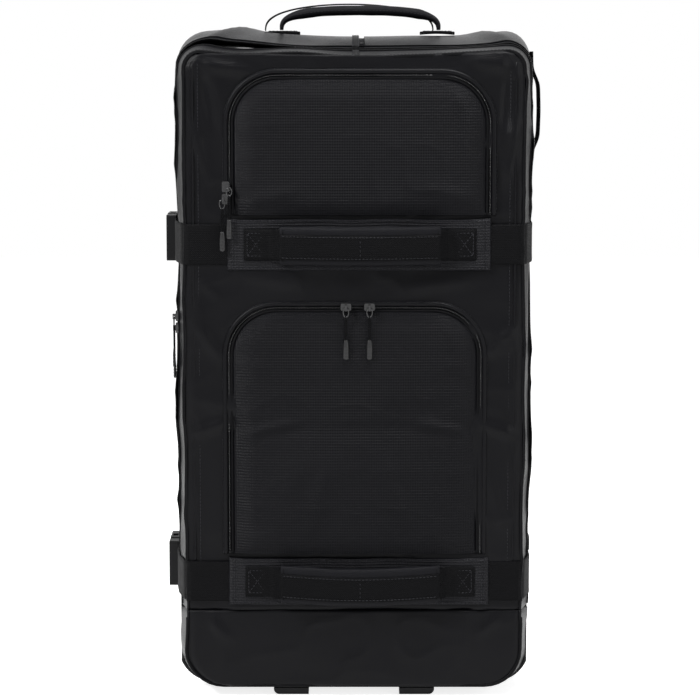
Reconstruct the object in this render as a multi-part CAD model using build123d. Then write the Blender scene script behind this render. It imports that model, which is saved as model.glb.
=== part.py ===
"""Wheeled upright travel bag: a soft clamshell with two front pockets, straps and a telescopic handle.

Frame: +Z up, the front face looks towards -Y, +X is to the right of someone facing the front.
The origin is on the floor, under the middle of the bag. Every length is in millimetres.
Each separate piece is one node; a node with several solids holds identical or mirror-image pieces.
"""
from build123d import *
import math
import os

# ---------------------------------------------------------------- driving dimensions
# the soft body
FRONT_Y = -150.0          # outer face of the lid panel
SPLIT_Y = -110.0          # plane of the main zip and of the lid hinge
BACK_Y = 146.0            # outer face of the back panel
FRONT_HALF = 209.0        # half width at the front seam
SIDE_HALF = 219.0         # half width at the zip and at the back seam
SIDE_BULGE = 4.0          # how far the sides swell between those two
BASE_Z = 8.0              # underside of the body
SEAM_Z = 804.0            # front seam across the top
RIM_Z = 812.0             # top at the zip and at the back seam
DOME_Z = 828.0            # crown of the top
BOTTOM_ROUND = 46.0       # corner radius at the bottom, seen from the front
TOP_ROUND = 32.0          # corner radius at the top
FRONT_TOP_ROUND = 24.0    # the same at the front seam
WALL = 3.0                # fabric with its foam backing
BACK_WALL = 5.0           # back panel
TUB_Z = 182.0             # top edge of the moulded tub
LID_Z = 112.0             # bottom edge of the lid
SPLIT_GAP = 0.4           # between lid and body all round
HALF_GAP = SPLIT_GAP / 2
ZIP_BAND = 4.0            # width of each half of the main zip

# pockets on the lid: left, right, bottom, top and how far each stands out
UPPER_POCKET = (-148.0, 162.0, 606.0, 772.0)
UPPER_POCKET_DEPTH = 12.0
LOWER_POCKET = (-150.0, 152.0, 184.0, 487.0)
LOWER_POCKET_DEPTH = 12.0
POCKET_ROUND = 54.0
ZIP_WELT = 12.0           # width of the covered zip round a pocket
ZIP_WELT_DEPTH = 5.0

# compression straps, their sleeves and buckles
WEBBING = 50.0            # strap width
STRAP_T = 2.0             # strap thickness
STRAP_CLEAR = 0.5         # between a strap and the fabric it lies on
UPPER_STRAP_Z = 570.0
LOWER_STRAP_Z = 149.0
SLEEVE_LEFT = -156.0
SLEEVE_RIGHT = 168.0
SLEEVE_T = 2.5
UPPER_SLEEVE_H = 64.0
LOWER_SLEEVE_H = 60.0
BUCKLE_T = 12.0
BUCKLE_H = 60.0
BUCKLE_WALL = 2.4
CLIP_LENGTH = 22.0
PRONG_LENGTH = 26.0
SOCKET_LENGTH = 42.0
SOCKET_FRONT_Y = -34.0
BUCKLE_CLEAR = 0.5        # clip in socket, and clip over strap

# carry handles on the sleeves
HANDLE_LEFT = -101.0
HANDLE_RIGHT = 116.0
HANDLE_PAD_H = 48.0
HANDLE_WEB_H = 38.0
HANDLE_PAD_T = 9.0
HANDLE_GAP = 9.5          # room for fingers behind the grip
HANDLE_WEB_T = 2.2
PATCH_W = 33.0            # sewn end of a handle
PATCH_T = 2.0
PATCH_CLEAR = 3.2         # between a sewn end and the loose part of its handle
HANDLE_RISE = 9.0         # length of the handle's sloping end, along X

# top handle
TOP_HANDLE_X = 8.0
TOP_HANDLE_Y = 22.0
TOP_HANDLE_SPAN = 214.0
TOP_HANDLE_FOOT_Z = DOME_Z + 5.0
TOP_HANDLE_TOP = TOP_HANDLE_FOOT_Z + 33.0
TOP_GRIP_D = 15.0
TOP_WEB_T = 2.4
TOP_WEB_W = 16.0
TOP_TILT_ROOM = 34.0      # half angle of the V that the handle's feet stay inside
TOP_FOOT_HALF = 2.0
TOP_FOOT_CLEAR = 3.2      # from the handle's pivot down to its sewn end tabs
TOP_PATCH_L = 44.0

# side handle, on the right
SIDE_HANDLE_Y = -40.0
SIDE_HANDLE_LOW = 676.0
SIDE_HANDLE_HIGH = 786.0
SIDE_HANDLE_W = 40.0
SIDE_HANDLE_T = 3.0
SIDE_HANDLE_OUT = 236.0   # outer face of the side handle
SIDE_HANDLE_END = 16.0    # length of each sloping end

# wheels
WHEEL_R = 46.0
WHEEL_W = 34.0
WHEEL_X = 190.0
WHEEL_Y = 132.0
HUB_R = 31.0
HUB_WEB = 8.0             # thickness of the hub's disc
HUB_BOSS_R = 15.0
BEARING_R = 11.0
BEARING_W = 7.0
AXLE_R = 4.0
AXLE_HEAD_R = 6.5
AXLE_HEAD_T = 2.5
RUN_CLEAR = 0.05          # bearing in hub, radial
WELL_CLEAR = 4.0          # round the wheel and beside it
HOUSING_WALL = 10.0
HOUSING_FRONT_Y = WHEEL_Y - WHEEL_R - WELL_CLEAR - 8.0
HOUSING_BACK_Y = 166.0
HOUSING_TOP_Z = 2 * WHEEL_R + WELL_CLEAR + 8.0
SCREW_R = 3.0
SCREW_L = 8.0

# feet and rails
FOOT_X = 79.0
FOOT_W = 44.0
FOOT_Y0, FOOT_Y1 = -138.0, -84.0
FOOT_ROUND = 7.0
RAIL_X = 118.0
RAIL_W = 16.0
RAIL_T = 6.0
RAIL_Z0, RAIL_Z1 = 196.0, 640.0

# telescopic handle
TUBE_X = 62.0
TUBE_Y = 122.0
TUBE_OUTER = (24.0, 16.0)
TUBE_MIDDLE = (20.4, 12.4)
TUBE_INNER = (17.2, 9.2)
TUBE_T = 1.2
TUBE_BOTTOM = 34.0
TUBE_TOP = 786.0
MIDDLE_BOTTOM = 250.0
INNER_BOTTOM = 262.0
MIDDLE_TOP = TUBE_TOP + 1.5
STAGE = 190.0             # travel of each stage
GRIP_W = 152.0
GRIP_D = 22.0
GRIP_H = 20.0
GRIP_Z = 800.0            # underside of the grip
BUTTON = (34.0, 11.0)
BUTTON_PROUD = 3.5
BUTTON_DEEP = 9.0
BUTTON_CLEAR = 0.4
BEZEL_W = 188.0
BEZEL_Y0 = 104.0
BEZEL_FLOOR_Z = 786.0
BEZEL_WALL = 3.0
BEZEL_LIP = 3.0
BEZEL_CLEAR = 0.6         # round each tube

# zip sliders and pulls
SLIDER = (9.0, 13.0, 6.0)     # across the zip, along it, out from it
SLIDER_CLEAR = 0.4
SLIDER_ROUND = 2.2
BAIL_R = 3.2              # half width of the bail
BAIL_WIRE = 1.4
PULL_SHIFT = 4.2          # sideways shift of a pull that shares its column with another
BRIDGE_SHIFT = 1.0
BRIDGE_W = 2.4
BRIDGE_WALL = 1.8
PULL_OUT = 5.4            # from the slider's back to the pull's pivot
CORD_R = 1.3
PULL_W, PULL_T = 6.5, 4.0
PULL_LENGTHS = (10.0, 32.0, 24.0)   # bail, cord, moulded end


# ---------------------------------------------------------------- helpers
def block(x, y, z):
    """A box between pairs of limits."""
    size = (x[1] - x[0], y[1] - y[0], z[1] - z[0])
    centre = ((x[0] + x[1]) / 2, (y[0] + y[1]) / 2, (z[0] + z[1]) / 2)
    return Pos(*centre) * Box(*size)


def upright(face, y_from, y_to):
    """A face drawn with its second axis as height, made solid from y_from to y_to."""
    return Pos(0, y_to, 0) * Rot(90, 0, 0) * extrude(face, y_to - y_from)


def front_outline(half, low, high, low_round, high_round):
    """The bag's outline seen from the front."""
    face = Pos(0, (low + high) / 2) * Rectangle(2 * half, high - low)
    if low_round:
        face = fillet(face.vertices().group_by(Axis.Y)[0], low_round)
    if high_round:
        face = fillet(face.vertices().group_by(Axis.Y)[-1], high_round)
    return face


def offset_path(points, distance):
    """The points of an open path moved sideways by distance, with mitred corners."""
    moved = []
    for i, (x, y) in enumerate(points):
        normals = []
        for a, b in ((i - 1, i), (i, i + 1)):
            if a >= 0 and b < len(points):
                dx, dy = points[b][0] - points[a][0], points[b][1] - points[a][1]
                length = math.hypot(dx, dy)
                normals.append((-dy / length, dx / length))
        nx = sum(n[0] for n in normals) / len(normals)
        ny = sum(n[1] for n in normals) / len(normals)
        scale = distance / (nx * nx + ny * ny)
        moved.append((x + nx * scale, y + ny * scale))
    return moved


def strip(points, thickness, z_from, z_to):
    """A flat strap on edge: its plan follows points, thickened to their left, and it is z_to - z_from wide."""
    outline = list(points) + list(reversed(offset_path(points, thickness)))
    face = make_face(Polyline(*outline, close=True))
    return Pos(0, 0, z_from) * extrude(face, z_to - z_from)


def mirrored(shape):
    """The same piece on the other side of the bag."""
    return mirror(shape, about=Plane.YZ)


def group(*shapes):
    """Several pieces of one node, kept as separate solids."""
    return Compound(children=[s for shape in shapes for s in shape.solids()])


def rounded(shape, radius, *axes):
    """The shape with its edges along the given axes rounded."""
    for axis in axes:
        shape = fillet(shape.edges().filter_by(axis), radius)
    return shape


# ---------------------------------------------------------------- the soft body
def body_form(inset):
    """The body behind the zip as one solid, every face inset from the outside."""
    half = SIDE_HALF + SIDE_BULGE
    front = SPLIT_Y + HALF_GAP - (20.0 if inset else 0.0)
    back = BACK_Y - (BACK_WALL if inset else 0.0)
    outline = front_outline(
        half - inset, BASE_Z + inset, DOME_Z - inset, BOTTOM_ROUND - inset, TOP_ROUND - inset
    )
    along_y = upright(outline, front, back)
    middle_y = (SPLIT_Y + BACK_Y) / 2
    crown = make_face(
        ThreePointArc((SPLIT_Y - 40, RIM_Z - 8 - inset), (middle_y, DOME_Z - inset), (BACK_Y + 40, RIM_Z - 8 - inset))
        + Polyline((BACK_Y + 40, RIM_Z - 8 - inset), (BACK_Y + 40, -10), (SPLIT_Y - 40, -10), (SPLIT_Y - 40, RIM_Z - 8 - inset))
    )
    along_x = Pos(-half - 10, 0, 0) * extrude(Plane.YZ * crown, 2 * half + 20)
    side = SIDE_HALF - inset
    swell = side + SIDE_BULGE
    plan = make_face(
        ThreePointArc((side, SPLIT_Y), (swell, middle_y), (side, BACK_Y))
        + Line((side, BACK_Y), (-side, BACK_Y))
        + ThreePointArc((-side, BACK_Y), (-swell, middle_y), (-side, SPLIT_Y))
        + Polyline((-side, SPLIT_Y), (-side, SPLIT_Y - 40), (side, SPLIT_Y - 40), (side, SPLIT_Y))
    )
    along_z = extrude(plan, DOME_Z + 20)
    return along_y & along_x & along_z


def front_form(inset, y_from, y_to):
    """The part in front of the zip, tapering from the zip to the front seam."""
    def outline_at(y):
        share = (y - FRONT_Y) / (SPLIT_Y - FRONT_Y)
        half = FRONT_HALF + share * (SIDE_HALF - FRONT_HALF) - inset
        high = SEAM_Z + share * (RIM_Z - SEAM_Z) - inset
        corner = FRONT_TOP_ROUND + share * (TOP_ROUND - FRONT_TOP_ROUND) - inset
        low = BASE_Z + 6 * (1 - share) + inset
        return front_outline(half, low, high, BOTTOM_ROUND - inset, corner)

    back = Pos(0, 0, 0) * outline_at(y_to)
    front = Pos(0, 0, y_to - y_from) * outline_at(y_from)
    return Pos(0, y_to, 0) * Rot(90, 0, 0) * loft([back, front])


def above(shape, z):
    return shape & block((-400, 400), (-400, 400), (z, 1000))


def below(shape, z):
    return shape & block((-400, 400), (-400, 400), (-100, z))


def shell_pieces():
    """Fabric panels and tub behind the zip, each cut from one hollow form."""
    shell = body_form(0.0) - body_form(WALL)
    body_front = SPLIT_Y + HALF_GAP
    wide = (-400, 400)
    side_top = RIM_Z - TOP_ROUND
    panels = shell & block(wide, (body_front + ZIP_BAND, BACK_Y - BACK_WALL), (-100, 1000))
    zip_half = shell & block(wide, (body_front, body_front + ZIP_BAND), (TUB_Z, 1000))
    hinge_side = block((FRONT_HALF, 400), (-400, 400), (-100, side_top))
    middle = above(below(panels, side_top), TUB_Z)
    housing_room = block(
        (WHEEL_X - WHEEL_W / 2 - WELL_CLEAR - HOUSING_WALL, 400),
        (HOUSING_FRONT_Y, 400),
        (-100, HOUSING_TOP_Z),
    )
    bezel_room = block((-BEZEL_W / 2, BEZEL_W / 2), (BEZEL_Y0, 400), (BEZEL_FLOOR_Z, 1000))
    tub = below(shell & block(wide, (body_front, 400), (-100, 1000)), TUB_Z)
    top_back_z = RIM_Z - TOP_ROUND
    back = above(shell & block(wide, (BACK_Y - BACK_WALL, BACK_Y), (-100, 1000)), TUB_Z)
    top = above(panels, side_top) + above(zip_half & hinge_side, side_top)
    left = middle & block((-400, 0), (-400, 400), (-100, 1000))
    right = middle & block((0, 400), (-400, 400), (-100, 1000))
    right = right + (zip_half & hinge_side)
    return {
        "side_gusset_left": left,
        "side_gusset_right": right,
        "top_gusset": top - bezel_room,
        "back_panel": back - bezel_room,
        "base_tub": tub - housing_room - mirrored(housing_room),
        "body_zip_tape": (zip_half - hinge_side),
    }


def front_pieces():
    """Lid panel, lid band with its zip half, and the fixed panel below the lid."""
    lid_back = SPLIT_Y - HALF_GAP
    panel = front_form(0.0, FRONT_Y, FRONT_Y + WALL)
    wall = front_form(0.0, FRONT_Y + WALL, lid_back) - front_form(WALL, FRONT_Y + WALL - 0.01, lid_back + 0.01)
    lid_wall = above(wall, LID_Z + WALL)
    shelf = front_form(0.0, FRONT_Y + WALL, lid_back) & block((-400, 400), (-400, 400), (LID_Z, LID_Z + WALL))
    lid_wall = lid_wall + shelf
    zip_zone = block((-400, FRONT_HALF), (lid_back - ZIP_BAND, 0), (LID_Z + WALL, 1000))
    lower = below(panel, LID_Z - 1) + below(wall, LID_Z - 1)
    return {
        "lid_panel": above(panel, LID_Z),
        "lid_band": lid_wall - zip_zone,
        "lid_zip_tape": lid_wall & zip_zone,
        "lower_front_panel": lower,
    }


def pocket(limits, depth):
    """One padded pocket front with rounded top corners and a softened rim."""
    left, right, low, high = limits
    face = Pos((left + right) / 2, 0) * front_outline((right - left) / 2, low, high, 0, POCKET_ROUND)
    plate = upright(face, FRONT_Y - depth, FRONT_Y)
    rim = plate.faces().sort_by(Axis.Y)[0].edges()
    return fillet(rim, depth * 0.45)


def pocket_zip(limits):
    """The covered zip that arches over a pocket, open at the bottom."""
    left, right, low, high = limits
    centre = (left + right) / 2
    inner = Pos(centre, 0) * front_outline((right - left) / 2, low, high, 0, POCKET_ROUND)
    outer = Pos(centre, 0) * front_outline(
        (right - left) / 2 + ZIP_WELT, low, high + ZIP_WELT, 0, POCKET_ROUND + ZIP_WELT
    )
    return upright(outer - inner, FRONT_Y - ZIP_WELT_DEPTH, FRONT_Y)


# ---------------------------------------------------------------- straps and buckles
def side_x(y):
    """Half width of the body's side at a depth, from its arc."""
    middle_y = (SPLIT_Y + BACK_Y) / 2
    chord = (BACK_Y - SPLIT_Y) / 2
    radius = (chord ** 2 + SIDE_BULGE ** 2) / (2 * SIDE_BULGE)
    return SIDE_HALF + SIDE_BULGE - radius + math.sqrt(radius ** 2 - (y - middle_y) ** 2)


SIDE_STRAP_X = SIDE_HALF + SIDE_BULGE + STRAP_CLEAR     # inner face of a strap beside the bag
BUCKLE_X = SIDE_STRAP_X + STRAP_T + BUCKLE_CLEAR        # inner face of a buckle


def front_strap(z):
    """The strap on the lid: from the buckle clip, round the left edge, across the front, to the hinge."""
    half = WEBBING / 2
    hinge_end = SPLIT_Y - HALF_GAP
    points = [
        (SIDE_HALF + STRAP_CLEAR, hinge_end),
        (FRONT_HALF + STRAP_CLEAR, FRONT_Y),
        (-FRONT_HALF - STRAP_CLEAR, FRONT_Y),
        (-SIDE_HALF - STRAP_CLEAR, SPLIT_Y),
        (-SIDE_STRAP_X, SPLIT_Y + 30),
        (-SIDE_STRAP_X, SOCKET_FRONT_Y - 2),
    ]
    return strip(points, STRAP_T, z - half, z + half)


def rear_strap_left(z):
    """The short strap sewn into the back seam that holds the buckle socket."""
    half = WEBBING / 2
    start = SOCKET_FRONT_Y + 6
    points = [(-SIDE_STRAP_X, start), (-SIDE_STRAP_X, BACK_Y - 40), (-side_x(BACK_Y - 6) - STRAP_CLEAR, BACK_Y - 6)]
    return strip(points, STRAP_T, z - half, z + half)


def rear_strap_right(z):
    """The strap's far end, sewn to the right side behind the hinge."""
    half = WEBBING / 2
    points = [
        (side_x(70) + STRAP_CLEAR, 70),
        (SIDE_STRAP_X, 18),
        (side_x(SPLIT_Y + 50) + STRAP_CLEAR + 0.6, SPLIT_Y + 50),
        (SIDE_HALF + STRAP_CLEAR, SPLIT_Y + HALF_GAP),
    ]
    return strip(points, STRAP_T, z - half, z + half)


def buckle_socket(z):
    """Female half of a side-release buckle: a flat case, open to the front, with a window each side."""
    back_y = SOCKET_FRONT_Y + SOCKET_LENGTH
    outer = (-BUCKLE_X - BUCKLE_T, -BUCKLE_X)
    half = BUCKLE_H / 2
    case = rounded(block(outer, (SOCKET_FRONT_Y, back_y), (z - half, z + half)), 3.0, Axis.X)
    mouth = block(
        (outer[0] + BUCKLE_WALL, outer[1] - BUCKLE_WALL),
        (SOCKET_FRONT_Y - 1, SOCKET_FRONT_Y + PRONG_LENGTH + 2),
        (z - half + 5, z + half - 5),
    )
    window = block(
        (outer[0] + BUCKLE_WALL, outer[1] - BUCKLE_WALL),
        (SOCKET_FRONT_Y + 9, SOCKET_FRONT_Y + 22),
        (z - half - 1, z + half + 1),
    )
    slot = block(
        (outer[0] - 1, outer[1] + 1), (back_y - 8, back_y - 4), (z - WEBBING / 2 - 1, z + WEBBING / 2 + 1)
    )
    return case - mouth - window - slot


def buckle_clip(z):
    """Male half: a webbing bar with two latch arms and a guide tongue."""
    outer = (-BUCKLE_X - BUCKLE_T, -BUCKLE_X)
    half = BUCKLE_H / 2
    base_y = (SOCKET_FRONT_Y - CLIP_LENGTH, SOCKET_FRONT_Y - BUCKLE_CLEAR)
    base = rounded(block(outer, base_y, (z - half + 1, z + half - 1)), 3.0, Axis.X)
    slots = [
        block(
            (outer[0] - 1, outer[1] + 1),
            (base_y[0] + y, base_y[0] + y + 3.5),
            (z - WEBBING / 2 - 1, z + WEBBING / 2 + 1),
        )
        for y in (4.0, 11.5)
    ]
    inside = (outer[0] + BUCKLE_WALL + BUCKLE_CLEAR, outer[1] - BUCKLE_WALL - BUCKLE_CLEAR)
    reach = (base_y[1] - 1, SOCKET_FRONT_Y + PRONG_LENGTH)
    arm_top = half - 5 - BUCKLE_CLEAR
    tongue = block((inside[0] + 1, inside[1] - 1), (reach[0], reach[1] - 3), (z - 5, z + 5))
    arms = [block(inside, reach, (z + s * arm_top - 3, z + s * arm_top + 3)) for s in (-1, 1)]
    arms = [
        arm & block((-400, 400), (-400, 400), (z - arm_top, z + arm_top)) for arm in arms
    ]
    return base - slots[0] - slots[1] + tongue + arms[0] + arms[1]


# ---------------------------------------------------------------- sleeves and handles
STRAP_FACE_Y = FRONT_Y - STRAP_T                 # front of a strap on the lid
SLEEVE_FACE_Y = STRAP_FACE_Y - SLEEVE_T          # front of a sleeve
HANDLE_BACK_Y = SLEEVE_FACE_Y - HANDLE_GAP       # back of a carry handle's grip


def sleeve(z, height):
    return block(
        (SLEEVE_LEFT, SLEEVE_RIGHT), (SLEEVE_FACE_Y, STRAP_FACE_Y), (z - height / 2, z + height / 2)
    )


def handle_patches(z):
    """The two sewn ends of a carry handle, flat on the sleeve."""
    high = (z - HANDLE_WEB_H / 2, z + HANDLE_WEB_H / 2)
    depth = (SLEEVE_FACE_Y - PATCH_T, SLEEVE_FACE_Y)
    left = block((HANDLE_LEFT - PATCH_W, HANDLE_LEFT - PATCH_CLEAR), depth, high)
    right = block((HANDLE_RIGHT + PATCH_CLEAR, HANDLE_RIGHT + PATCH_W), depth, high)
    return [left, right]


def carry_handle(z):
    """A padded grip behind a webbing face whose sloping ends come down to the sleeve."""
    near = SLEEVE_FACE_Y - 0.5
    pad_front = HANDLE_BACK_Y - HANDLE_PAD_T
    pad = block(
        (HANDLE_LEFT + HANDLE_RISE + 3, HANDLE_RIGHT - HANDLE_RISE - 3),
        (pad_front, HANDLE_BACK_Y),
        (z - HANDLE_PAD_H / 2, z + HANDLE_PAD_H / 2),
    )
    pad = rounded(pad, HANDLE_PAD_T * 0.4, Axis.X)
    points = [
        (HANDLE_RIGHT, near),
        (HANDLE_RIGHT - HANDLE_RISE, pad_front),
        (HANDLE_LEFT + HANDLE_RISE, pad_front),
        (HANDLE_LEFT, near),
    ]
    web = strip(points, HANDLE_WEB_T, z - HANDLE_WEB_H / 2, z + HANDLE_WEB_H / 2)
    web = web - block((-400, 400), (near, 0), (0, 1000))
    return group(pad, web)


def handle_arch(x_reach, top, foot, thickness):
    """Outline of the top handle seen from the front, as a curved band."""
    rise = top - foot

    def arc(grow):
        half = x_reach + grow
        return [(-half, foot), (0, foot + rise + grow), (half, foot)]

    outside, inside = arc(0), arc(-thickness)
    return make_face(
        ThreePointArc(*outside)
        + Line(outside[2], inside[2])
        + ThreePointArc(inside[2], inside[1], inside[0])
        + Line(inside[0], outside[0])
    )


def top_handle():
    """A rolled grip with a flat webbing arch running just behind it."""
    half = TOP_HANDLE_SPAN / 2
    grip_y = (TOP_HANDLE_Y - TOP_GRIP_D, TOP_HANDLE_Y)
    grip = upright(handle_arch(half, TOP_HANDLE_TOP, TOP_HANDLE_FOOT_Z, TOP_GRIP_D), *grip_y)
    web_y = (TOP_HANDLE_Y + 0.3, TOP_HANDLE_Y + 0.3 + TOP_WEB_W)
    web = upright(handle_arch(half, TOP_HANDLE_TOP - 1, TOP_HANDLE_FOOT_Z, TOP_WEB_T), *web_y)
    shift = Pos(TOP_HANDLE_X, 0, 0)
    wedge = tilt_wedge()
    return (shift * grip) & wedge, (shift * web) & wedge


def tilt_wedge():
    """A V along X that opens upwards from the handle's pivot, so its feet clear the crown as it tilts."""
    rise = 80.0
    reach = TOP_FOOT_HALF + rise * math.tan(math.radians(TOP_TILT_ROOM))
    y, z = TOP_HANDLE_Y, TOP_HANDLE_FOOT_Z
    outline = [(y - TOP_FOOT_HALF, z), (y + TOP_FOOT_HALF, z), (y + reach, z + rise), (y - reach, z + rise)]
    face = make_face(Polyline(*outline, close=True))
    return Pos(-300, 0, 0) * extrude(Plane.YZ * face, 600)


def top_handle_patches():
    """Sewn end tabs that hold the top handle to the crown."""
    level = TOP_HANDLE_FOOT_Z - TOP_FOOT_CLEAR
    y = (TOP_HANDLE_Y - TOP_GRIP_D, TOP_HANDLE_Y + TOP_WEB_W)
    tabs = []
    for side in (-1, 1):
        x = TOP_HANDLE_X + side * (TOP_HANDLE_SPAN / 2 - TOP_GRIP_D / 2)
        tabs.append(block((x - TOP_PATCH_L / 2, x + TOP_PATCH_L / 2), y, (DOME_Z, level)))
    return tabs


def side_handle():
    """A bowed strap on the right side, sewn at both ends."""
    base = SIDE_HALF + SIDE_BULGE + 0.6
    out = SIDE_HANDLE_OUT - SIDE_HANDLE_T
    points = [
        (base, SIDE_HANDLE_HIGH),
        (out, SIDE_HANDLE_HIGH - SIDE_HANDLE_END),
        (out, SIDE_HANDLE_LOW + SIDE_HANDLE_END),
        (base, SIDE_HANDLE_LOW),
    ]
    outline = points + list(reversed(offset_path(points, SIDE_HANDLE_T)))
    face = make_face(Polyline(*outline, close=True))
    low = SIDE_HANDLE_Y - SIDE_HANDLE_W / 2
    bow = upright(face, low, low + SIDE_HANDLE_W)
    return bow - block((0, base), (-400, 400), (0, 1000))


# ---------------------------------------------------------------- wheels
def wheel_well(grow):
    reach = WHEEL_R + grow
    return Pos(WHEEL_X, WHEEL_Y, WHEEL_R) * Rot(0, 90, 0) * Cylinder(reach, WHEEL_W + 2 * WELL_CLEAR)


def wheel_housing():
    """Moulded corner that carries one wheel, open behind and below."""
    inner_x = WHEEL_X - WHEEL_W / 2 - WELL_CLEAR
    outer_x = WHEEL_X + WHEEL_W / 2 + WELL_CLEAR
    case = block(
        (inner_x - HOUSING_WALL, outer_x + HOUSING_WALL),
        (HOUSING_FRONT_Y + 0.3, HOUSING_BACK_Y),
        (BASE_Z, HOUSING_TOP_Z - 0.3),
    )
    case = fillet(case.edges().filter_by(Axis.X).sort_by(Axis.Y)[-1], 24.0)
    room = block((inner_x, outer_x), (WHEEL_Y, 400), (-100, WHEEL_R + WHEEL_R + WELL_CLEAR))
    room += block((inner_x, outer_x), (WHEEL_Y - WHEEL_R - WELL_CLEAR, 400), (-100, WHEEL_R))
    bore = Pos(WHEEL_X, WHEEL_Y, WHEEL_R) * Rot(0, 90, 0) * Cylinder(AXLE_R, 200)
    head = Pos(outer_x + HOUSING_WALL, WHEEL_Y, WHEEL_R) * Rot(0, 90, 0)
    head = head * Cylinder(AXLE_HEAD_R, 2 * AXLE_HEAD_T)
    return case - wheel_well(WELL_CLEAR) - room - bore - head


def wheel_axle():
    outer_x = WHEEL_X + WHEEL_W / 2 + WELL_CLEAR + HOUSING_WALL
    inner_x = WHEEL_X - WHEEL_W / 2 - WELL_CLEAR - HOUSING_WALL
    length = outer_x - inner_x
    pin = Pos((outer_x + inner_x) / 2, WHEEL_Y, WHEEL_R) * Rot(0, 90, 0) * Cylinder(AXLE_R, length)
    head = Pos(outer_x - AXLE_HEAD_T / 2, WHEEL_Y, WHEEL_R) * Rot(0, 90, 0)
    return pin + head * Cylinder(AXLE_HEAD_R, AXLE_HEAD_T)


def on_wheel_axis(radius, x_from, x_to):
    centre = Pos((x_from + x_to) / 2, WHEEL_Y, WHEEL_R)
    return centre * Rot(0, 90, 0) * Cylinder(radius, x_to - x_from)


def wheel_bearings():
    """Two ball bearings on the axle, one at each face of the hub."""
    out = []
    for side in (-1, 1):
        far = WHEEL_X + side * WHEEL_W / 2
        near = far - side * BEARING_W
        ends = sorted((near, far))
        out.append(on_wheel_axis(BEARING_R, *ends) - on_wheel_axis(AXLE_R, *ends))
    return out


def wheel_hub():
    """Spoked hub with a boss for the bearings."""
    low, high = WHEEL_X - WHEEL_W / 2, WHEEL_X + WHEEL_W / 2
    rim_half = WHEEL_W / 2 - 3
    rim = on_wheel_axis(HUB_R, WHEEL_X - rim_half, WHEEL_X + rim_half)
    rim -= on_wheel_axis(HUB_R - 4, WHEEL_X - rim_half, WHEEL_X + rim_half)
    disc = on_wheel_axis(HUB_R - 3, WHEEL_X - HUB_WEB / 2, WHEEL_X + HUB_WEB / 2)
    boss = on_wheel_axis(HUB_BOSS_R, low, high)
    hub = rim + disc + boss
    seat = BEARING_R + RUN_CLEAR
    for side in (-1, 1):
        ends = sorted((WHEEL_X + side * WHEEL_W / 2, WHEEL_X + side * (WHEEL_W / 2 - BEARING_W)))
        hub -= on_wheel_axis(seat, *ends)
    hub -= on_wheel_axis(AXLE_R + 1.0, low, high)
    for k in range(5):
        angle = math.radians(72 * k)
        y = WHEEL_Y + 21 * math.cos(angle)
        z = WHEEL_R + 21 * math.sin(angle)
        hub -= Pos(WHEEL_X, y, z) * Rot(0, 90, 0) * Cylinder(4.6, 60)
    return hub


def wheel_tyre():
    tyre = on_wheel_axis(WHEEL_R, WHEEL_X - WHEEL_W / 2, WHEEL_X + WHEEL_W / 2)
    tyre = fillet(tyre.edges(), 7.0)
    rim_half = WHEEL_W / 2 - 3
    tyre -= on_wheel_axis(HUB_R, WHEEL_X - WHEEL_W, WHEEL_X + WHEEL_W)
    return tyre


# ---------------------------------------------------------------- feet, rails, screws
def front_feet():
    """Two moulded feet under the front edge, rounded on their outer sides."""
    foot = block((FOOT_X - FOOT_W / 2, FOOT_X + FOOT_W / 2), (FOOT_Y0, FOOT_Y1), (0, BASE_Z))
    outer = foot.edges().filter_by(Axis.Y).sort_by(Axis.X)[-2:].sort_by(Axis.Z)[0]
    foot = fillet(outer, FOOT_ROUND)
    return [foot, mirrored(foot)]


def rub_rails():
    """Two skid rails on the back panel."""
    rail = block(
        (RAIL_X - RAIL_W / 2, RAIL_X + RAIL_W / 2), (BACK_Y, BACK_Y + RAIL_T), (RAIL_Z0, RAIL_Z1)
    )
    rail = fillet(rail.faces().sort_by(Axis.Y)[-1].edges(), 3.0)
    return [rail, mirrored(rail)]


def housing_screws():
    """Pan-head screws that hold the wheel housings to the tub floor."""
    screws = []
    x = WHEEL_X - WHEEL_W / 2 - WELL_CLEAR - HOUSING_WALL / 2
    for z in (HOUSING_TOP_Z - 22, 24.0):
        head = Pos(x, HOUSING_FRONT_Y + 0.3 - 1.0, z) * Rot(90, 0, 0) * Cylinder(SCREW_R * 1.7, 2.0)
        screws += [head, mirrored(head)]
    return screws


# ---------------------------------------------------------------- telescopic handle
def tube(size, wall, z_from, z_to):
    """A rounded rectangular tube."""
    outer = RectangleRounded(size[0], size[1], 3.0)
    inner = RectangleRounded(size[0] - 2 * wall, size[1] - 2 * wall, 3.0 - wall)
    return Pos(TUBE_X, TUBE_Y, z_from) * extrude(outer - inner, z_to - z_from)


def handle_bezel():
    """A cup in the top rear edge that the grip sinks into."""
    z_top = RIM_Z - 1
    outer = block((-BEZEL_W / 2 + 0.3, BEZEL_W / 2 - 0.3), (BEZEL_Y0 + 0.3, BACK_Y), (BEZEL_FLOOR_Z, z_top))
    outer = rounded(outer, 6.0, Axis.Z)
    hollow = block(
        (-BEZEL_W / 2 + BEZEL_WALL, BEZEL_W / 2 - BEZEL_WALL),
        (BEZEL_Y0 + BEZEL_WALL, BACK_Y - BEZEL_WALL),
        (BEZEL_FLOOR_Z + BEZEL_WALL, 1000),
    )
    hollow = rounded(hollow, 4.0, Axis.Z)
    cup = outer - hollow
    for side in (-1, 1):
        hole = RectangleRounded(TUBE_MIDDLE[0] + 2 * BEZEL_CLEAR, TUBE_MIDDLE[1] + 2 * BEZEL_CLEAR, 3.0)
        cup -= Pos(side * TUBE_X, TUBE_Y, BEZEL_FLOOR_Z - 1) * extrude(hole, BEZEL_WALL + 2)
    return cup


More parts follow.
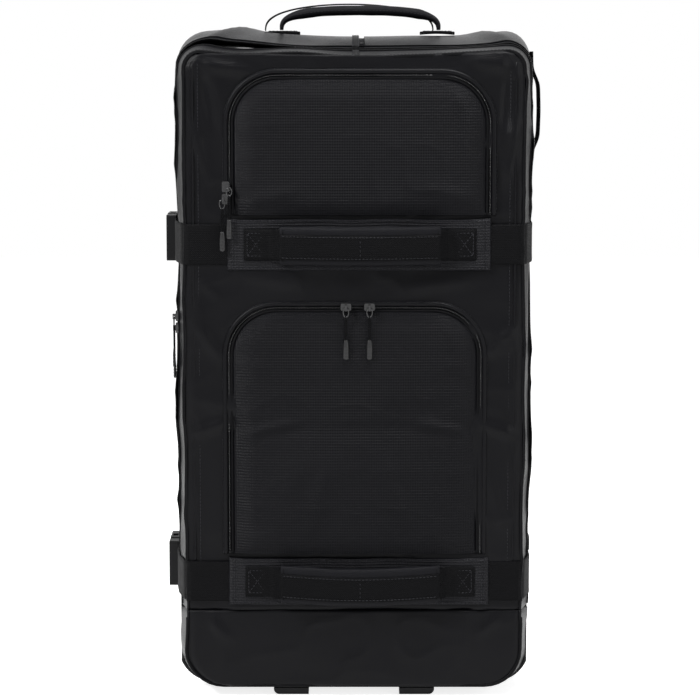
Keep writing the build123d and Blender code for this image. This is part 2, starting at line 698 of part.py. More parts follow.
def pull_grip():
    """The hand grip across the two inner tubes, with a well for the button."""
    grip = block(
        (-GRIP_W / 2, GRIP_W / 2), (TUBE_Y - GRIP_D / 2, TUBE_Y + GRIP_D / 2), (GRIP_Z, GRIP_Z + GRIP_H)
    )
    grip = fillet(grip.edges().filter_by(Axis.X), 6.0)
    x, y = BUTTON[0] / 2 + BUTTON_CLEAR, BUTTON[1] / 2 + BUTTON_CLEAR
    well = block((-x, x), (TUBE_Y - y, TUBE_Y + y), (GRIP_Z + GRIP_H - BUTTON_DEEP - 5, 1000))
    return grip - well


def release_button():
    top = GRIP_Z + GRIP_H
    button = block(
        (-BUTTON[0] / 2, BUTTON[0] / 2),
        (TUBE_Y - BUTTON[1] / 2, TUBE_Y + BUTTON[1] / 2),
        (top - BUTTON_DEEP, top + BUTTON_PROUD),
    )
    return fillet(button.faces().sort_by(Axis.Z)[-1].edges(), 1.5)


def telescopic_pieces():
    outer = tube(TUBE_OUTER, TUBE_T, TUBE_BOTTOM, TUBE_TOP)
    middle = tube(TUBE_MIDDLE, TUBE_T, MIDDLE_BOTTOM, MIDDLE_TOP)
    inner = tube(TUBE_INNER, TUBE_T, INNER_BOTTOM, GRIP_Z)
    foot = block(
        (-TUBE_X - 24, TUBE_X + 24), (TUBE_Y - 12, BACK_Y - BACK_WALL), (TUBE_BOTTOM - 16, TUBE_BOTTOM)
    )
    return {
        "outer_tubes": group(outer, mirrored(outer)),
        "middle_tubes": group(middle, mirrored(middle)),
        "inner_tubes": group(inner, mirrored(inner)),
        "tube_foot_bracket": foot,
        "handle_bezel": handle_bezel(),
        "pull_grip": pull_grip(),
        "release_button": release_button(),
    }


# ---------------------------------------------------------------- zip sliders and their pulls
def slider(side, reach, lying):
    """A slider body on its zip, facing -Y, with an eyed bridge that carries the pull.

    side shifts the bridge left (-1) or right (+1), so that two pulls in one column hang side by side.
    reach lifts the bridge clear of what the pull hangs over. lying is for a level zip.
    """
    across, along, out = SLIDER
    wide, high = (along, across) if lying else (across, along)
    body = block((-wide / 2, wide / 2), (-out * 0.55, 0), (-high / 2, high / 2))
    body = fillet(body.edges().filter_by(Axis.Y), SLIDER_ROUND)
    x, y, z = pull_pivot(side, reach)
    bridge_x = x - side * BRIDGE_SHIFT
    bridge = block(
        (bridge_x - BRIDGE_W / 2, bridge_x + BRIDGE_W / 2), (y - BRIDGE_WALL, -out * 0.5), (z - 3.0, z + 4.0)
    )
    eye = Pos(bridge_x, y, z) * Rot(0, 90, 0) * Cylinder(BAIL_WIRE / 2 + 0.3, 10)
    return body + bridge - eye


def pull_pivot(side, reach):
    """Middle of the bail's cross bar, from the middle of the slider's back."""
    return (side * PULL_SHIFT, -PULL_OUT - reach, -1.0)


def puller(side, reach):
    """A wire bail, a cord and a moulded end, hanging straight down from the slider."""
    bail_l, cord_l, end_l = PULL_LENGTHS
    wire = BAIL_WIRE / 2
    bar = Rot(0, 90, 0) * Cylinder(wire, 2 * BAIL_R)
    outer = Pos(0, -bail_l / 2) * Rectangle(2 * BAIL_R + 2 * wire, bail_l + 2 * wire)
    inner = Pos(0, -bail_l / 2 + 1) * Rectangle(2 * BAIL_R - 2 * wire, bail_l - 2 * wire + 2)
    bail = upright(outer - inner, -wire, wire)
    cord_top = -bail_l + wire
    cord = Pos(0, 0, cord_top - cord_l / 2) * Cylinder(CORD_R, cord_l)
    end_top = cord_top - cord_l + 2
    end = block((-PULL_W / 2, PULL_W / 2), (-PULL_T / 2, PULL_T / 2), (end_top - end_l, end_top))
    end = fillet(end.edges().filter_by(Axis.Y), 1.6)
    return Pos(*pull_pivot(side, reach)) * (bar + bail + cord + end)


WELT_FACE_Y = FRONT_Y - ZIP_WELT_DEPTH - SLIDER_CLEAR
UPPER_ZIP_X = UPPER_POCKET[0] - ZIP_WELT * 0.75
LOWER_ZIP_Z = LOWER_POCKET[3] + ZIP_WELT / 2
MAIN_ZIP_X = -SIDE_HALF - SLIDER_CLEAR
POCKET_REACH = LOWER_POCKET_DEPTH - ZIP_WELT_DEPTH - 2.0
# where each slider stands, which way its bridge is shifted, how far its pull is lifted, and if it lies
SLIDERS = {
    "upper_pocket_slider_low": (Pos(UPPER_ZIP_X, WELT_FACE_Y, 626), -1, 0.0, False),
    "upper_pocket_slider_high": (Pos(UPPER_ZIP_X, WELT_FACE_Y, 641), 1, 0.0, False),
    "lower_pocket_slider_left": (Pos(-10, WELT_FACE_Y, LOWER_ZIP_Z), 0, POCKET_REACH, True),
    "lower_pocket_slider_right": (Pos(19, WELT_FACE_Y, LOWER_ZIP_Z), 0, POCKET_REACH, True),
    "main_slider_low": (Pos(MAIN_ZIP_X, SPLIT_Y, 462) * Rot(0, 0, -90), -1, 0.0, False),
    "main_slider_high": (Pos(MAIN_ZIP_X, SPLIT_Y, 477) * Rot(0, 0, -90), 1, 0.0, False),
}


def slider_pieces():
    pieces = {}
    for name, (place, side, reach, lying) in SLIDERS.items():
        pieces[name] = place * slider(side, reach, lying)
        pieces[name.replace("slider", "pull")] = place * puller(side, reach)
    return pieces


# ---------------------------------------------------------------- everything
def model():
    pieces = {}
    pieces.update(shell_pieces())
    pieces.update(front_pieces())
    pieces["frame_sheet"] = block((-188, 188), (BACK_Y - BACK_WALL - 2.5, BACK_Y - BACK_WALL), (HOUSING_TOP_Z + 4, 776))
    pieces["tube_cover"] = block((-92, 92), (TUBE_Y - 14, TUBE_Y - 12), (TUBE_BOTTOM, BEZEL_FLOOR_Z - 2))
    pieces["upper_pocket"] = pocket(UPPER_POCKET, UPPER_POCKET_DEPTH)
    pieces["lower_pocket"] = pocket(LOWER_POCKET, LOWER_POCKET_DEPTH)
    pieces["upper_pocket_zip"] = pocket_zip(UPPER_POCKET)
    pieces["lower_pocket_zip"] = pocket_zip(LOWER_POCKET)
    pieces["strap_sleeves"] = group(
        sleeve(UPPER_STRAP_Z, UPPER_SLEEVE_H), sleeve(LOWER_STRAP_Z, LOWER_SLEEVE_H)
    )
    pieces["handle_patches"] = group(*handle_patches(UPPER_STRAP_Z), *handle_patches(LOWER_STRAP_Z))
    pieces["upper_strap"] = front_strap(UPPER_STRAP_Z)
    pieces["lower_strap"] = front_strap(LOWER_STRAP_Z)
    pieces["buckle_straps"] = group(rear_strap_left(UPPER_STRAP_Z), rear_strap_left(LOWER_STRAP_Z))
    pieces["hinge_side_straps"] = group(rear_strap_right(UPPER_STRAP_Z), rear_strap_right(LOWER_STRAP_Z))
    pieces["buckle_sockets"] = group(buckle_socket(UPPER_STRAP_Z), buckle_socket(LOWER_STRAP_Z))
    pieces["upper_buckle_clip"] = buckle_clip(UPPER_STRAP_Z)
    pieces["lower_buckle_clip"] = buckle_clip(LOWER_STRAP_Z)
    pieces["upper_carry_handle"] = carry_handle(UPPER_STRAP_Z)
    pieces["lower_carry_handle"] = carry_handle(LOWER_STRAP_Z)
    pieces["top_handle_grip"], pieces["top_handle_webbing"] = top_handle()
    pieces["top_handle_patches"] = group(*top_handle_patches())
    pieces["side_handle"] = side_handle()
    housing, axle, hub, tyre = wheel_housing(), wheel_axle(), wheel_hub(), wheel_tyre()
    bearings = wheel_bearings()
    pieces["wheel_housings"] = group(housing, mirrored(housing))
    pieces["wheel_axles"] = group(axle, mirrored(axle))
    pieces["wheel_bearings"] = group(*bearings, *[mirrored(b) for b in bearings])
    pieces["hub_right"], pieces["hub_left"] = hub, mirrored(hub)
    pieces["tyre_right"], pieces["tyre_left"] = tyre, mirrored(tyre)
    pieces["front_feet"] = group(*front_feet())
    pieces["rub_rails"] = group(*rub_rails())
    pieces["housing_screws"] = group(*housing_screws())
    pieces.update(telescopic_pieces())
    pieces.update(slider_pieces())
    return pieces


os.makedirs("parts", exist_ok=True)
for node, shape in model().items():
    export_step(shape, f"parts/{node}.step")
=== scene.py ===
"""Visual model of a black wheeled soft bag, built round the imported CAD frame. Lengths are in millimetres
until a mesh is made; +Z is up and the front looks towards -Y."""
import math
import bpy
import numpy as np
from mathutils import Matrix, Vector


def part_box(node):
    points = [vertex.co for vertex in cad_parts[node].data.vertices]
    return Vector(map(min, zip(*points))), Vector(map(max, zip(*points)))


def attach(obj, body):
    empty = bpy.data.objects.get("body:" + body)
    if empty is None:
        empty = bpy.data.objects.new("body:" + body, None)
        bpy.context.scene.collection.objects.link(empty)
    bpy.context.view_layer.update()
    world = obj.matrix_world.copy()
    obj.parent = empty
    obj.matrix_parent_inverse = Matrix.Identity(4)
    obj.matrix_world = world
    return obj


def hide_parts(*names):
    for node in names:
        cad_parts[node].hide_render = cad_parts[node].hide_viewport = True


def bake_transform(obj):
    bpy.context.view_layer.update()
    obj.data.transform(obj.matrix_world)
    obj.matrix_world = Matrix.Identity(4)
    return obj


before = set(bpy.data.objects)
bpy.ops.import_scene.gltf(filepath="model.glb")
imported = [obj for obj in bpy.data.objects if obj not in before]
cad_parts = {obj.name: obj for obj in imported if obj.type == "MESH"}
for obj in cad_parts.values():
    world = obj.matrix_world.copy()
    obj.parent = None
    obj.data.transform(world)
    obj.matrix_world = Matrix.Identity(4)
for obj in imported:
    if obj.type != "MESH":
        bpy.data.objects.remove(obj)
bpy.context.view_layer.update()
MM = 0.001


def node_box(name):
    """Lowest and highest corner of a CAD node, in millimetres."""
    low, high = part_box(name)
    return [c / MM for c in low], [c / MM for c in high]


# ---------------------------------------------------------------- sizes read from the frame
LID_OVER_SIDE, LID_OVER_TOP = 0.8, 0.5      # how far the CAD lid panel reaches past the front's own edges
LID_LOW, LID_HIGH = node_box("lid_panel")
BAND_HIGH = node_box("lid_band")[1]
TUB_LOW, TUB_HIGH = node_box("base_tub")
FRONT_Y = LID_LOW[1]
SPLIT_Y = (BAND_HIGH[1] + node_box("body_zip_tape")[0][1]) / 2
BACK_Y = node_box("back_panel")[1][1]
FRONT_HALF = LID_HIGH[0] - LID_OVER_SIDE
SIDE_HALF = BAND_HIGH[0]
SIDE_BULGE = node_box("side_gusset_right")[1][0] - SIDE_HALF
BASE_Z = TUB_LOW[2]
SEAM_Z = LID_HIGH[2] - LID_OVER_TOP
RIM_Z = BAND_HIGH[2]
DOME_Z = node_box("top_gusset")[1][2]
LID_Z = LID_LOW[2]
TUB_Z = TUB_HIGH[2]
STRAPS = [(node_box(n)[0][2] + node_box(n)[1][2]) / 2 for n in ("upper_strap", "lower_strap")]

# sizes that only the visual model has
GAP = 0.3                 # between the lid and the body below the zip
ZIP_EDGE = 3.4            # from the split to the fabric beside the zip
FRONT_RISE = 6.0          # the front panel's lowest edge above the base
BASE_CORNER, FRONT_CORNER, RIM_CORNER = 46.0, 24.0, 32.0
CLOTH = 2.2               # thickness of the side fabric
RIB = 3.5                 # pitch of the ribbed fabric
POCKET_CORNER = 54.0
SELVEDGE = 0.7            # how far a strap's edges roll in


# ---------------------------------------------------------------- noise and creases
NOISE_CELLS = 64          # the random table repeats after so many cells
NOISE_SHIFT = 100.0       # moves the origin away from the corner of the table


def noise2(x, y, scale, seed):
    """Smooth random field, about -1 to 1, with features of the given size."""
    rng = np.random.RandomState(seed)
    table = rng.uniform(-1, 1, (NOISE_CELLS, NOISE_CELLS))
    u, v = np.asarray(x) / scale + NOISE_SHIFT, np.asarray(y) / scale + NOISE_SHIFT
    i, j = np.floor(u).astype(int), np.floor(v).astype(int)
    fu, fv = u - i, v - j
    fu, fv = fu * fu * (3 - 2 * fu), fv * fv * (3 - 2 * fv)
    i, i_next = i % NOISE_CELLS, (i + 1) % NOISE_CELLS
    j, j_next = j % NOISE_CELLS, (j + 1) % NOISE_CELLS
    a, b = table[i, j], table[i_next, j]
    c, d = table[i, j_next], table[i_next, j_next]
    return (a * (1 - fu) + b * fu) * (1 - fv) + (c * (1 - fu) + d * fu) * fv


def rumple(x, y, seed, size=90.0):
    """Soft folds: ridged noise at two sizes, 0 to 1."""
    wide = 1 - np.abs(noise2(x, y, size, seed))
    fine = 1 - np.abs(noise2(x, y, size * 0.4, seed + 1))
    return wide ** 3 * 0.7 + fine ** 4 * 0.3


def fold(x, z, start, end, width, depth):
    """A soft fold along a straight line, fading at both ends."""
    ax, az = start
    bx, bz = end
    dx, dz = bx - ax, bz - az
    length = math.hypot(dx, dz)
    fading = 0.3 * length
    along = ((x - ax) * dx + (z - az) * dz) / length
    across = ((x - ax) * -dz + (z - az) * dx) / length
    fade = np.clip(along / fading, 0, 1) * np.clip((length - along) / fading, 0, 1)
    return depth * fade * np.exp(-((across / width) ** 2))


def add_folds(out, x, z, folds, share=1.0):
    """Adds (start, end, width, depth) folds to a height field; a negative depth is a crease."""
    for start, end, width, depth in folds:
        out = out + fold(x, z, start, end, width, depth) * share
    return out


# ---------------------------------------------------------------- materials
CLOUD_SCALE, GRAIN_SCALE = 14.0, 1400.0     # mottling and moulded grain, in noise cells to the metre
MOTTLE, ROUGH_SPREAD = 0.12, 0.07           # how far colour and roughness vary either way
RELIEF_DEPTH = 0.0006                       # in metres
WAVE_PERIOD = 0.314159                      # metres from band to band at a wave scale of 1


def material(name, colour, rough, weave=None, bump=0.3, metal=0.0, coat=0.0, gloss=0.16):
    """A near-black surface: mottled colour and roughness, with a woven, twilled or moulded relief.

    weave is a list of (directions, pitch in millimetres); without one the surface is moulded."""
    mat = bpy.data.materials.new(name)
    mat.use_nodes = True
    nodes, links = mat.node_tree.nodes, mat.node_tree.links
    shader = nodes["Principled BSDF"]
    shader.inputs["Metallic"].default_value = metal
    shader.inputs["Specular IOR Level"].default_value = gloss
    shader.inputs["Coat Weight"].default_value = coat
    coords = nodes.new("ShaderNodeTexCoord")
    cloud = nodes.new("ShaderNodeTexNoise")
    cloud.inputs["Scale"].default_value = CLOUD_SCALE
    cloud.inputs["Detail"].default_value = 4.0
    links.new(coords.outputs["Object"], cloud.inputs["Vector"])
    ramp = nodes.new("ShaderNodeMix")
    ramp.data_type = "RGBA"
    ramp.inputs["A"].default_value = (*[c * (1 - MOTTLE) for c in colour], 1)
    ramp.inputs["B"].default_value = (*[c * (1 + MOTTLE) for c in colour], 1)
    links.new(cloud.outputs["Fac"], ramp.inputs["Factor"])
    links.new(ramp.outputs["Result"], shader.inputs["Base Color"])
    spread = nodes.new("ShaderNodeMapRange")
    spread.inputs["To Min"].default_value = rough - ROUGH_SPREAD
    spread.inputs["To Max"].default_value = rough + ROUGH_SPREAD
    links.new(cloud.outputs["Fac"], spread.inputs["Value"])
    links.new(spread.outputs["Result"], shader.inputs["Roughness"])
    relief = nodes.new("ShaderNodeBump")
    relief.inputs["Strength"].default_value = bump
    relief.inputs["Distance"].default_value = RELIEF_DEPTH
    links.new(relief.outputs["Normal"], shader.inputs["Normal"])
    if weave is None:
        grain = nodes.new("ShaderNodeTexNoise")
        grain.inputs["Scale"].default_value = GRAIN_SCALE
        grain.inputs["Detail"].default_value = 2.0
        links.new(coords.outputs["Object"], grain.inputs["Vector"])
        links.new(grain.outputs["Fac"], relief.inputs["Height"])
        return mat
    total = None
    for directions, pitch in weave:
        for direction in directions:
            turn = nodes.new("ShaderNodeMapping")
            turn.vector_type = "POINT"
            turn.inputs["Rotation"].default_value = direction
            wave = nodes.new("ShaderNodeTexWave")
            wave.bands_direction = "X"
            wave.inputs["Scale"].default_value = WAVE_PERIOD / (pitch * MM)
            wave.inputs["Distortion"].default_value = 0.4
            wave.inputs["Detail"].default_value = 1.0
            links.new(coords.outputs["Object"], turn.inputs["Vector"])
            links.new(turn.outputs["Vector"], wave.inputs["Vector"])
            if total is None:
                total = wave.outputs["Fac"]
                continue
            add = nodes.new("ShaderNodeMath")
            add.operation = "ADD"
            links.new(total, add.inputs[0])
            links.new(wave.outputs["Fac"], add.inputs[1])
            total = add.outputs["Value"]
    links.new(total, relief.inputs["Height"])
    return mat


QUARTER = math.pi / 2
ALONG_X, ALONG_Y, ALONG_Z = (0, 0, 0), (0, 0, QUARTER), (0, QUARTER, 0)
TWILL = ((0, math.radians(45), math.radians(30)),)
RIBS = [((ALONG_X,), 3.0), ((ALONG_Z,), 0.9)]
FABRIC = material("coated_fabric", (0.0036, 0.0036, 0.0044), 0.31, [((ALONG_X, ALONG_Y, ALONG_Z), 1.1)], 0.16,
                  gloss=0.07)
RIBBED = material("ribbed_fabric", (0.0036, 0.0036, 0.0046), 0.34, RIBS, 0.4, gloss=0.06)
WEBBING = material("webbing", (0.0028, 0.0028, 0.0032), 0.55, [(TWILL, 1.5), ((ALONG_Z, ALONG_Y), 2.2)], 0.55,
                   gloss=0.04)
SLEEVE = material("sleeve_fabric", (0.0085, 0.0085, 0.01), 0.4, RIBS, 0.4, gloss=0.08)
GRIP = material("padded_grip", (0.0052, 0.0052, 0.0064), 0.45, [((ALONG_X, ALONG_Z), 1.3)], 0.3, gloss=0.06)
TAPE = material("zip_tape", (0.0025, 0.0025, 0.003), 0.45, [((ALONG_X, ALONG_Z), 0.9)], 0.3, gloss=0.05)
THREAD = material("thread", (0.016, 0.016, 0.019), 0.5, [(TWILL, 0.6)], 0.3)
MOULDED = material("moulded_plastic", (0.005, 0.005, 0.0056), 0.38, None, 0.25, gloss=0.12)
SATIN = material("hub_plastic", (0.022, 0.022, 0.024), 0.3, None, 0.08, gloss=0.5)
RUBBER = material("tyre_rubber", (0.012, 0.012, 0.012), 0.7, None, 0.4)
METAL = material("tube_metal", (0.16, 0.16, 0.17), 0.28, None, 0.05, metal=1.0, gloss=0.5)
STEEL = material("steel", (0.5, 0.5, 0.51), 0.3, None, 0.05, metal=1.0, gloss=0.5)
ZIP_METAL = material("zip_metal", (0.012, 0.012, 0.013), 0.24, None, 0.04, metal=0.2, coat=0.3, gloss=0.5)
PULL = material("pull_rubber", (0.006, 0.006, 0.0065), 0.36, None, 0.2, gloss=0.35)
LINING = material("lining", (0.03, 0.03, 0.033), 0.6, [((ALONG_X, ALONG_Z), 0.8)], 0.2)


# ---------------------------------------------------------------- mesh builders
def new_object(name, verts, faces, mat, body=None, slot=None, replaces=()):
    """A smooth-shaded mesh in metres, riding on a body and standing for CAD nodes."""
    mesh = bpy.data.meshes.new(name)
    mesh.from_pydata([tuple(v * MM) for v in np.asarray(verts, float)], [], faces)
    mesh.polygons.foreach_set("use_smooth", [True] * len(mesh.polygons))
    mesh.materials.append(mat)
    mesh.update()
    obj = bpy.data.objects.new(name, mesh)
    bpy.context.scene.collection.objects.link(obj)
    if body:
        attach(obj, body)
    if replaces:
        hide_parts(*replaces)
    return obj


def grid_faces(rows, cols, closed=False):
    """Quads between rows of points; closed joins each row's last point to its first."""
    faces = []
    for i in range(rows - 1):
        for j in range(cols if closed else cols - 1):
            k = (j + 1) % cols
            faces.append((i * cols + j, i * cols + k, (i + 1) * cols + k, (i + 1) * cols + j))
    return faces


def slab(name, front, back, mat, **links):
    """A closed sheet between two grids of points of the same shape (rows, cols, 3); front faces outwards."""
    rows, cols = front.shape[:2]
    verts = np.vstack([front.reshape(-1, 3), back.reshape(-1, 3)])
    shift = rows * cols
    faces = grid_faces(rows, cols)
    faces += [tuple(shift + v for v in f[::-1]) for f in grid_faces(rows, cols)]
    rim = list(range(cols))
    rim += [i * cols + cols - 1 for i in range(1, rows)]
    rim += [(rows - 1) * cols + j for j in range(cols - 2, -1, -1)]
    rim += [i * cols for i in range(rows - 2, 0, -1)]
    for a, b in zip(rim, rim[1:] + rim[:1]):
        faces.append((b, a, a + shift, b + shift))
    return new_object(name, verts, faces, mat, **links)


def loft(name, rings, mat, **links):
    """A tube with closed ends through rings of points (count, around, 3)."""
    rings = np.asarray(rings)
    count, around = rings.shape[:2]
    faces = grid_faces(count, around, closed=True)
    faces.append(tuple(range(around))[::-1])
    faces.append(tuple((count - 1) * around + k for k in range(around)))
    return new_object(name, rings.reshape(-1, 3), faces, mat, **links)


def tangents(points):
    """Unit tangents along a polyline."""
    t = np.gradient(np.asarray(points, float), axis=0)
    return t / np.linalg.norm(t, axis=1)[:, None]


def sweep(name, points, profile, out, mat, **links):
    """A profile of (across, outwards) pairs swept along points; out is outwards, at each point or at all."""
    p = np.asarray(points, float)
    out = np.broadcast_to(np.asarray(out, float), p.shape)
    across = np.cross(tangents(p), out)
    across /= np.linalg.norm(across, axis=1)[:, None]
    rings = [[p[i] + across[i] * a + out[i] * b for a, b in profile] for i in range(len(p))]
    return loft(name, rings, mat, **links)


def circle(radius, count=8, squash=1.0):
    """A round profile, flattened outwards by squash."""
    turns = [2 * math.pi * k / count for k in range(count)]
    return [(radius * math.cos(a), radius * squash * math.sin(a)) for a in turns]


def resample(points, step):
    """The same polyline with points about step apart."""
    p = np.asarray(points, float)
    run = np.concatenate([[0], np.cumsum(np.linalg.norm(np.diff(p, axis=0), axis=1))])
    count = max(2, int(run[-1] / step) + 1)
    at = np.linspace(0, run[-1], count)
    return np.stack([np.interp(at, run, p[:, k]) for k in range(p.shape[1])], 1)


THREAD_SIDES = 5
SPINDLE = ((0, 0.25, -0.2), (0.25, 0.9, 0.2), (0.75, 0.9, 0.2), (1, 0.25, -0.2))    # (along, radius, lift)


def stitches(name, lines, out, mat=THREAD, body=None, length=3.2, pitch=4.4, radius=0.42):
    """Rows of raised thread, each stitch a short spindle that dips in at both ends."""
    verts, faces = [], []
    out = np.asarray(out, float)
    turns = [2 * math.pi * k / THREAD_SIDES for k in range(THREAD_SIDES)]
    spindle_faces = grid_faces(len(SPINDLE), THREAD_SIDES, closed=True)
    spindle_faces.append(tuple(range(THREAD_SIDES - 1, -1, -1)))
    spindle_faces.append(tuple((len(SPINDLE) - 1) * THREAD_SIDES + k for k in range(THREAD_SIDES)))
    for line in lines:
        p = resample(line, pitch)
        for a, b in zip(p[:-1], p[1:]):
            t = b - a
            span = np.linalg.norm(t)
            if span < 1e-6:
                continue
            t /= span
            side = np.cross(t, out)
            side /= np.linalg.norm(side)
            base = len(verts)
            for s, r, h in SPINDLE:
                centre = a + t * s * min(length, span * 0.8) + out * h
                verts += [centre + radius * r * (side * math.cos(w) + out * math.sin(w)) for w in turns]
            faces += [tuple(base + v for v in face) for face in spindle_faces]
    return new_object(name, verts, faces, mat, body=body)


# ---------------------------------------------------------------- the bag's sections
SIDE_POINTS, TOP_POINTS, BASE_POINTS, ARC_POINTS = 70, 44, 12, 9


def corner_arc(cx, cz, radius, start):
    """A quarter turn about (cx, cz), from a start angle in degrees."""
    turn = [math.radians(start + 90 * k / (ARC_POINTS - 1)) for k in range(ARC_POINTS)]
    return [(cx + radius * math.cos(a), cz + radius * math.sin(a)) for a in turn]


def outline(half, low, high, low_r, high_r):
    """The bag's outline seen from the front, from bottom middle, up the right side and round: (x, z) rows."""
    levels = list(np.linspace(low + low_r, high - high_r, SIDE_POINTS)[1:-1])
    levels = sorted(levels + [LID_Z, LID_Z - 1, TUB_Z - 2])
    right = [(half, z) for z in levels]
    top = [(x, high) for x in np.linspace(half - high_r, -half + high_r, TOP_POINTS)[1:-1]]
    left = [(-half, z) for z in reversed(levels)]
    bottom_right = [(x, low) for x in np.linspace(0, half - low_r, BASE_POINTS)[:-1]]
    bottom_left = [(x, low) for x in np.linspace(-half + low_r, 0, BASE_POINTS)[1:-1]]
    points = bottom_right + corner_arc(half - low_r, low + low_r, low_r, -90) + right
    points += corner_arc(half - high_r, high - high_r, high_r, 0) + top
    points += corner_arc(-half + high_r, high - high_r, high_r, 90) + left
    points += corner_arc(-half + low_r, low + low_r, low_r, 180) + bottom_left
    return np.array(points)


def seam_lift(x):
    """The top sags in the middle and stands a little higher at its right corner."""
    return -3.0 + 5.0 * (x / FRONT_HALF) ** 2 + 3.0 * np.clip(x / FRONT_HALF, 0, 1) ** 3


def section(y, inset=0.0):
    """The bag's outline at a depth, as (count, 3) points, pinched a little under the straps."""
    middle = (SPLIT_Y + BACK_Y) / 2
    if y < SPLIT_Y:
        share = (y - FRONT_Y) / (SPLIT_Y - FRONT_Y)
        half = FRONT_HALF + share * (SIDE_HALF - FRONT_HALF)
        high = SEAM_Z + share * (RIM_Z - SEAM_Z)
        corner = FRONT_CORNER + share * (RIM_CORNER - FRONT_CORNER)
        low = BASE_Z + FRONT_RISE * (1 - share)
    else:
        swell = 1 - ((y - middle) / (BACK_Y - middle)) ** 2
        half = SIDE_HALF + SIDE_BULGE * swell
        high = RIM_Z + (DOME_Z - RIM_Z) * swell
        corner = RIM_CORNER
        low = BASE_Z
    ring = outline(half - inset, low + inset, high - inset, BASE_CORNER - inset, corner - inset)
    x, z = ring[:, 0], ring[:, 1]
    depth = np.full_like(x, y)
    behind = y > SPLIT_Y

    pinch = sum(np.exp(-(((z - s) / 32) ** 4)) for s in STRAPS) if y < 60 else 0
    swell = 2.6 * np.sin(np.clip((z - 180) / 370, 0, 1) * math.pi)
    swell = swell + 2.8 * np.sin(np.clip((z - 590) / 215, 0, 1) * math.pi)
    side = (np.abs(x) > half - 30) * np.sign(x)
    growth = (swell - 0.8 * pinch) * (0.4 if y < SPLIT_Y else 1.0)
    wobble = (rumple(z + 30 * np.sign(x), depth, 14 if behind else 11, 85) - 0.3) * 3.6
    x = x + side * (growth + wobble * (np.abs(z - 400) < 370))

    top = z > SEAM_Z - 20
    lift = noise2(x, depth, 70, 5) * 2.2 + fold(x, depth, (-190, -140), (-120, 60), 14, 5)
    lift = lift + seam_lift(x) + fold(x, depth, (195, -120), (150, 60), 12, 4)
    if behind and y < BACK_Y - 20:
        lift = lift + 7 * np.exp(-(((x + 150) / 55) ** 2))
    return np.stack([x, depth, z + top * lift], 1)


def kept_run(ring, keep):
    """Indices of the outline points that keep() accepts, as one unbroken run."""
    index = np.flatnonzero([bool(keep(p)) for p in ring])
    jump = np.flatnonzero(np.diff(index) > 1)
    if len(jump):
        index = np.concatenate([index[jump[0] + 1:], index[:jump[0] + 1]])
    return index


def ring_slab(name, depths, keep, **links):
    """A strip of the shell between depths, for the outline points that keep() accepts."""
    index = kept_run(section(depths[0]), keep)
    outer = np.array([section(y)[index] for y in depths])
    inner = np.array([section(y, CLOTH)[index] for y in depths])
    return slab(name, outer, inner, FABRIC, slot="coated_fabric", **links)


def steps(a, b, size):
    """Even values from a to b, about size apart."""
    return np.linspace(a, b, max(2, int(abs(b - a) / size) + 1))


# ---------------------------------------------------------------- panels
def half_width(z, half, low, high, low_r, high_r):
    """Half width of the front outline at a height."""
    z = np.clip(z, low, high)
    w = np.full_like(z, half)
    at = z < low + low_r
    w[at] = half - low_r + np.sqrt(np.maximum(low_r ** 2 - (low + low_r - z[at]) ** 2, 0))
    at = z > high - high_r
    w[at] = half - high_r + np.sqrt(np.maximum(high_r ** 2 - (z[at] - high + high_r) ** 2, 0))
    return w


def spread(z, widths, count, rim):
    """A grid across a panel: x, z, and how far in from the panel's side each point is, 0 to 1 over rim."""
    s = np.linspace(-1, 1, count)
    edge = np.minimum((1 - np.abs(s[None, :])) * widths[:, None], rim) / rim
    return s[None, :] * widths[:, None], np.repeat(z[:, None], count, 1), edge


def front_panel(name, low, high, body, replaces, shape):
    """A front panel between two heights; shape(x, z) is how far it stands forward."""
    z = steps(low, high, 4.0)
    widths = half_width(z, FRONT_HALF, BASE_Z + FRONT_RISE, SEAM_Z, BASE_CORNER, FRONT_CORNER)
    x, zz, edge = spread(z, widths, 121, 12)
    out = shape(x, zz) * edge - (1 - edge) ** 2 * 3.0
    reaches_top = high > 700
    zz = zz + seam_lift(x) * np.clip((zz - high + 20) / 20, 0, 1) * reaches_top
    front = np.stack([x, FRONT_Y - out, zz], -1)
    back = np.stack([x, np.full_like(x, FRONT_Y + 2.8), zz], -1)
    return slab(name, front, back, FABRIC, body=body, slot="coated_fabric", replaces=replaces)


# (start, end, width, depth) of the folds, in x and z
LID_FOLDS = (
    ((-205, 795), (-110, 778), 7, 4.5), ((205, 785), (130, 797), 8, 4.5),
    ((-204, 740), (-176, 640), 7, 3.5), ((203, 730), (182, 630), 7, 3.5),
    ((-190, 800), (-168, 700), 6, -3.0), ((190, 800), (182, 690), 6, -3.0),
    ((-206, 332), (-150, 352), 7, 4.0), ((206, 330), (150, 350), 7, 4.0),
    ((-200, 480), (-158, 420), 7, 3.2), ((202, 470), (160, 430), 7, 3.2),
    ((-60, 520), (-150, 535), 9, 2.6), ((40, 512), (170, 530), 9, 2.6),
    ((-196, 530), (-160, 500), 6, 1.8), ((190, 200), (165, 300), 7, 1.8),
)
LOWER_FOLDS = (((-185, 104), (-150, 70), 6, 2.6), ((186, 106), (150, 76), 6, 2.6))
UPPER_POCKET_FOLDS = (((-140, 620), (-60, 640), 9, 1.6), ((150, 625), (70, 645), 9, 1.4))
LOWER_POCKET_FOLDS = (
    ((-148, 335), (-60, 352), 7, 3.0), ((148, 338), (70, 350), 7, 3.0),
    ((-60, 200), (-20, 330), 10, 1.6), ((70, 200), (30, 320), 10, 1.4),
)


def lid_shape(x, z):
    """The lid's front: rumpled, and fuller between the straps."""
    out = 5.0 * (rumple(x, z, 21, 105) - 0.35)
    out = out + 2.0 * np.sin(np.clip((z - 180) / 360, 0, 1) * math.pi)
    return add_folds(out, x, z, LID_FOLDS)


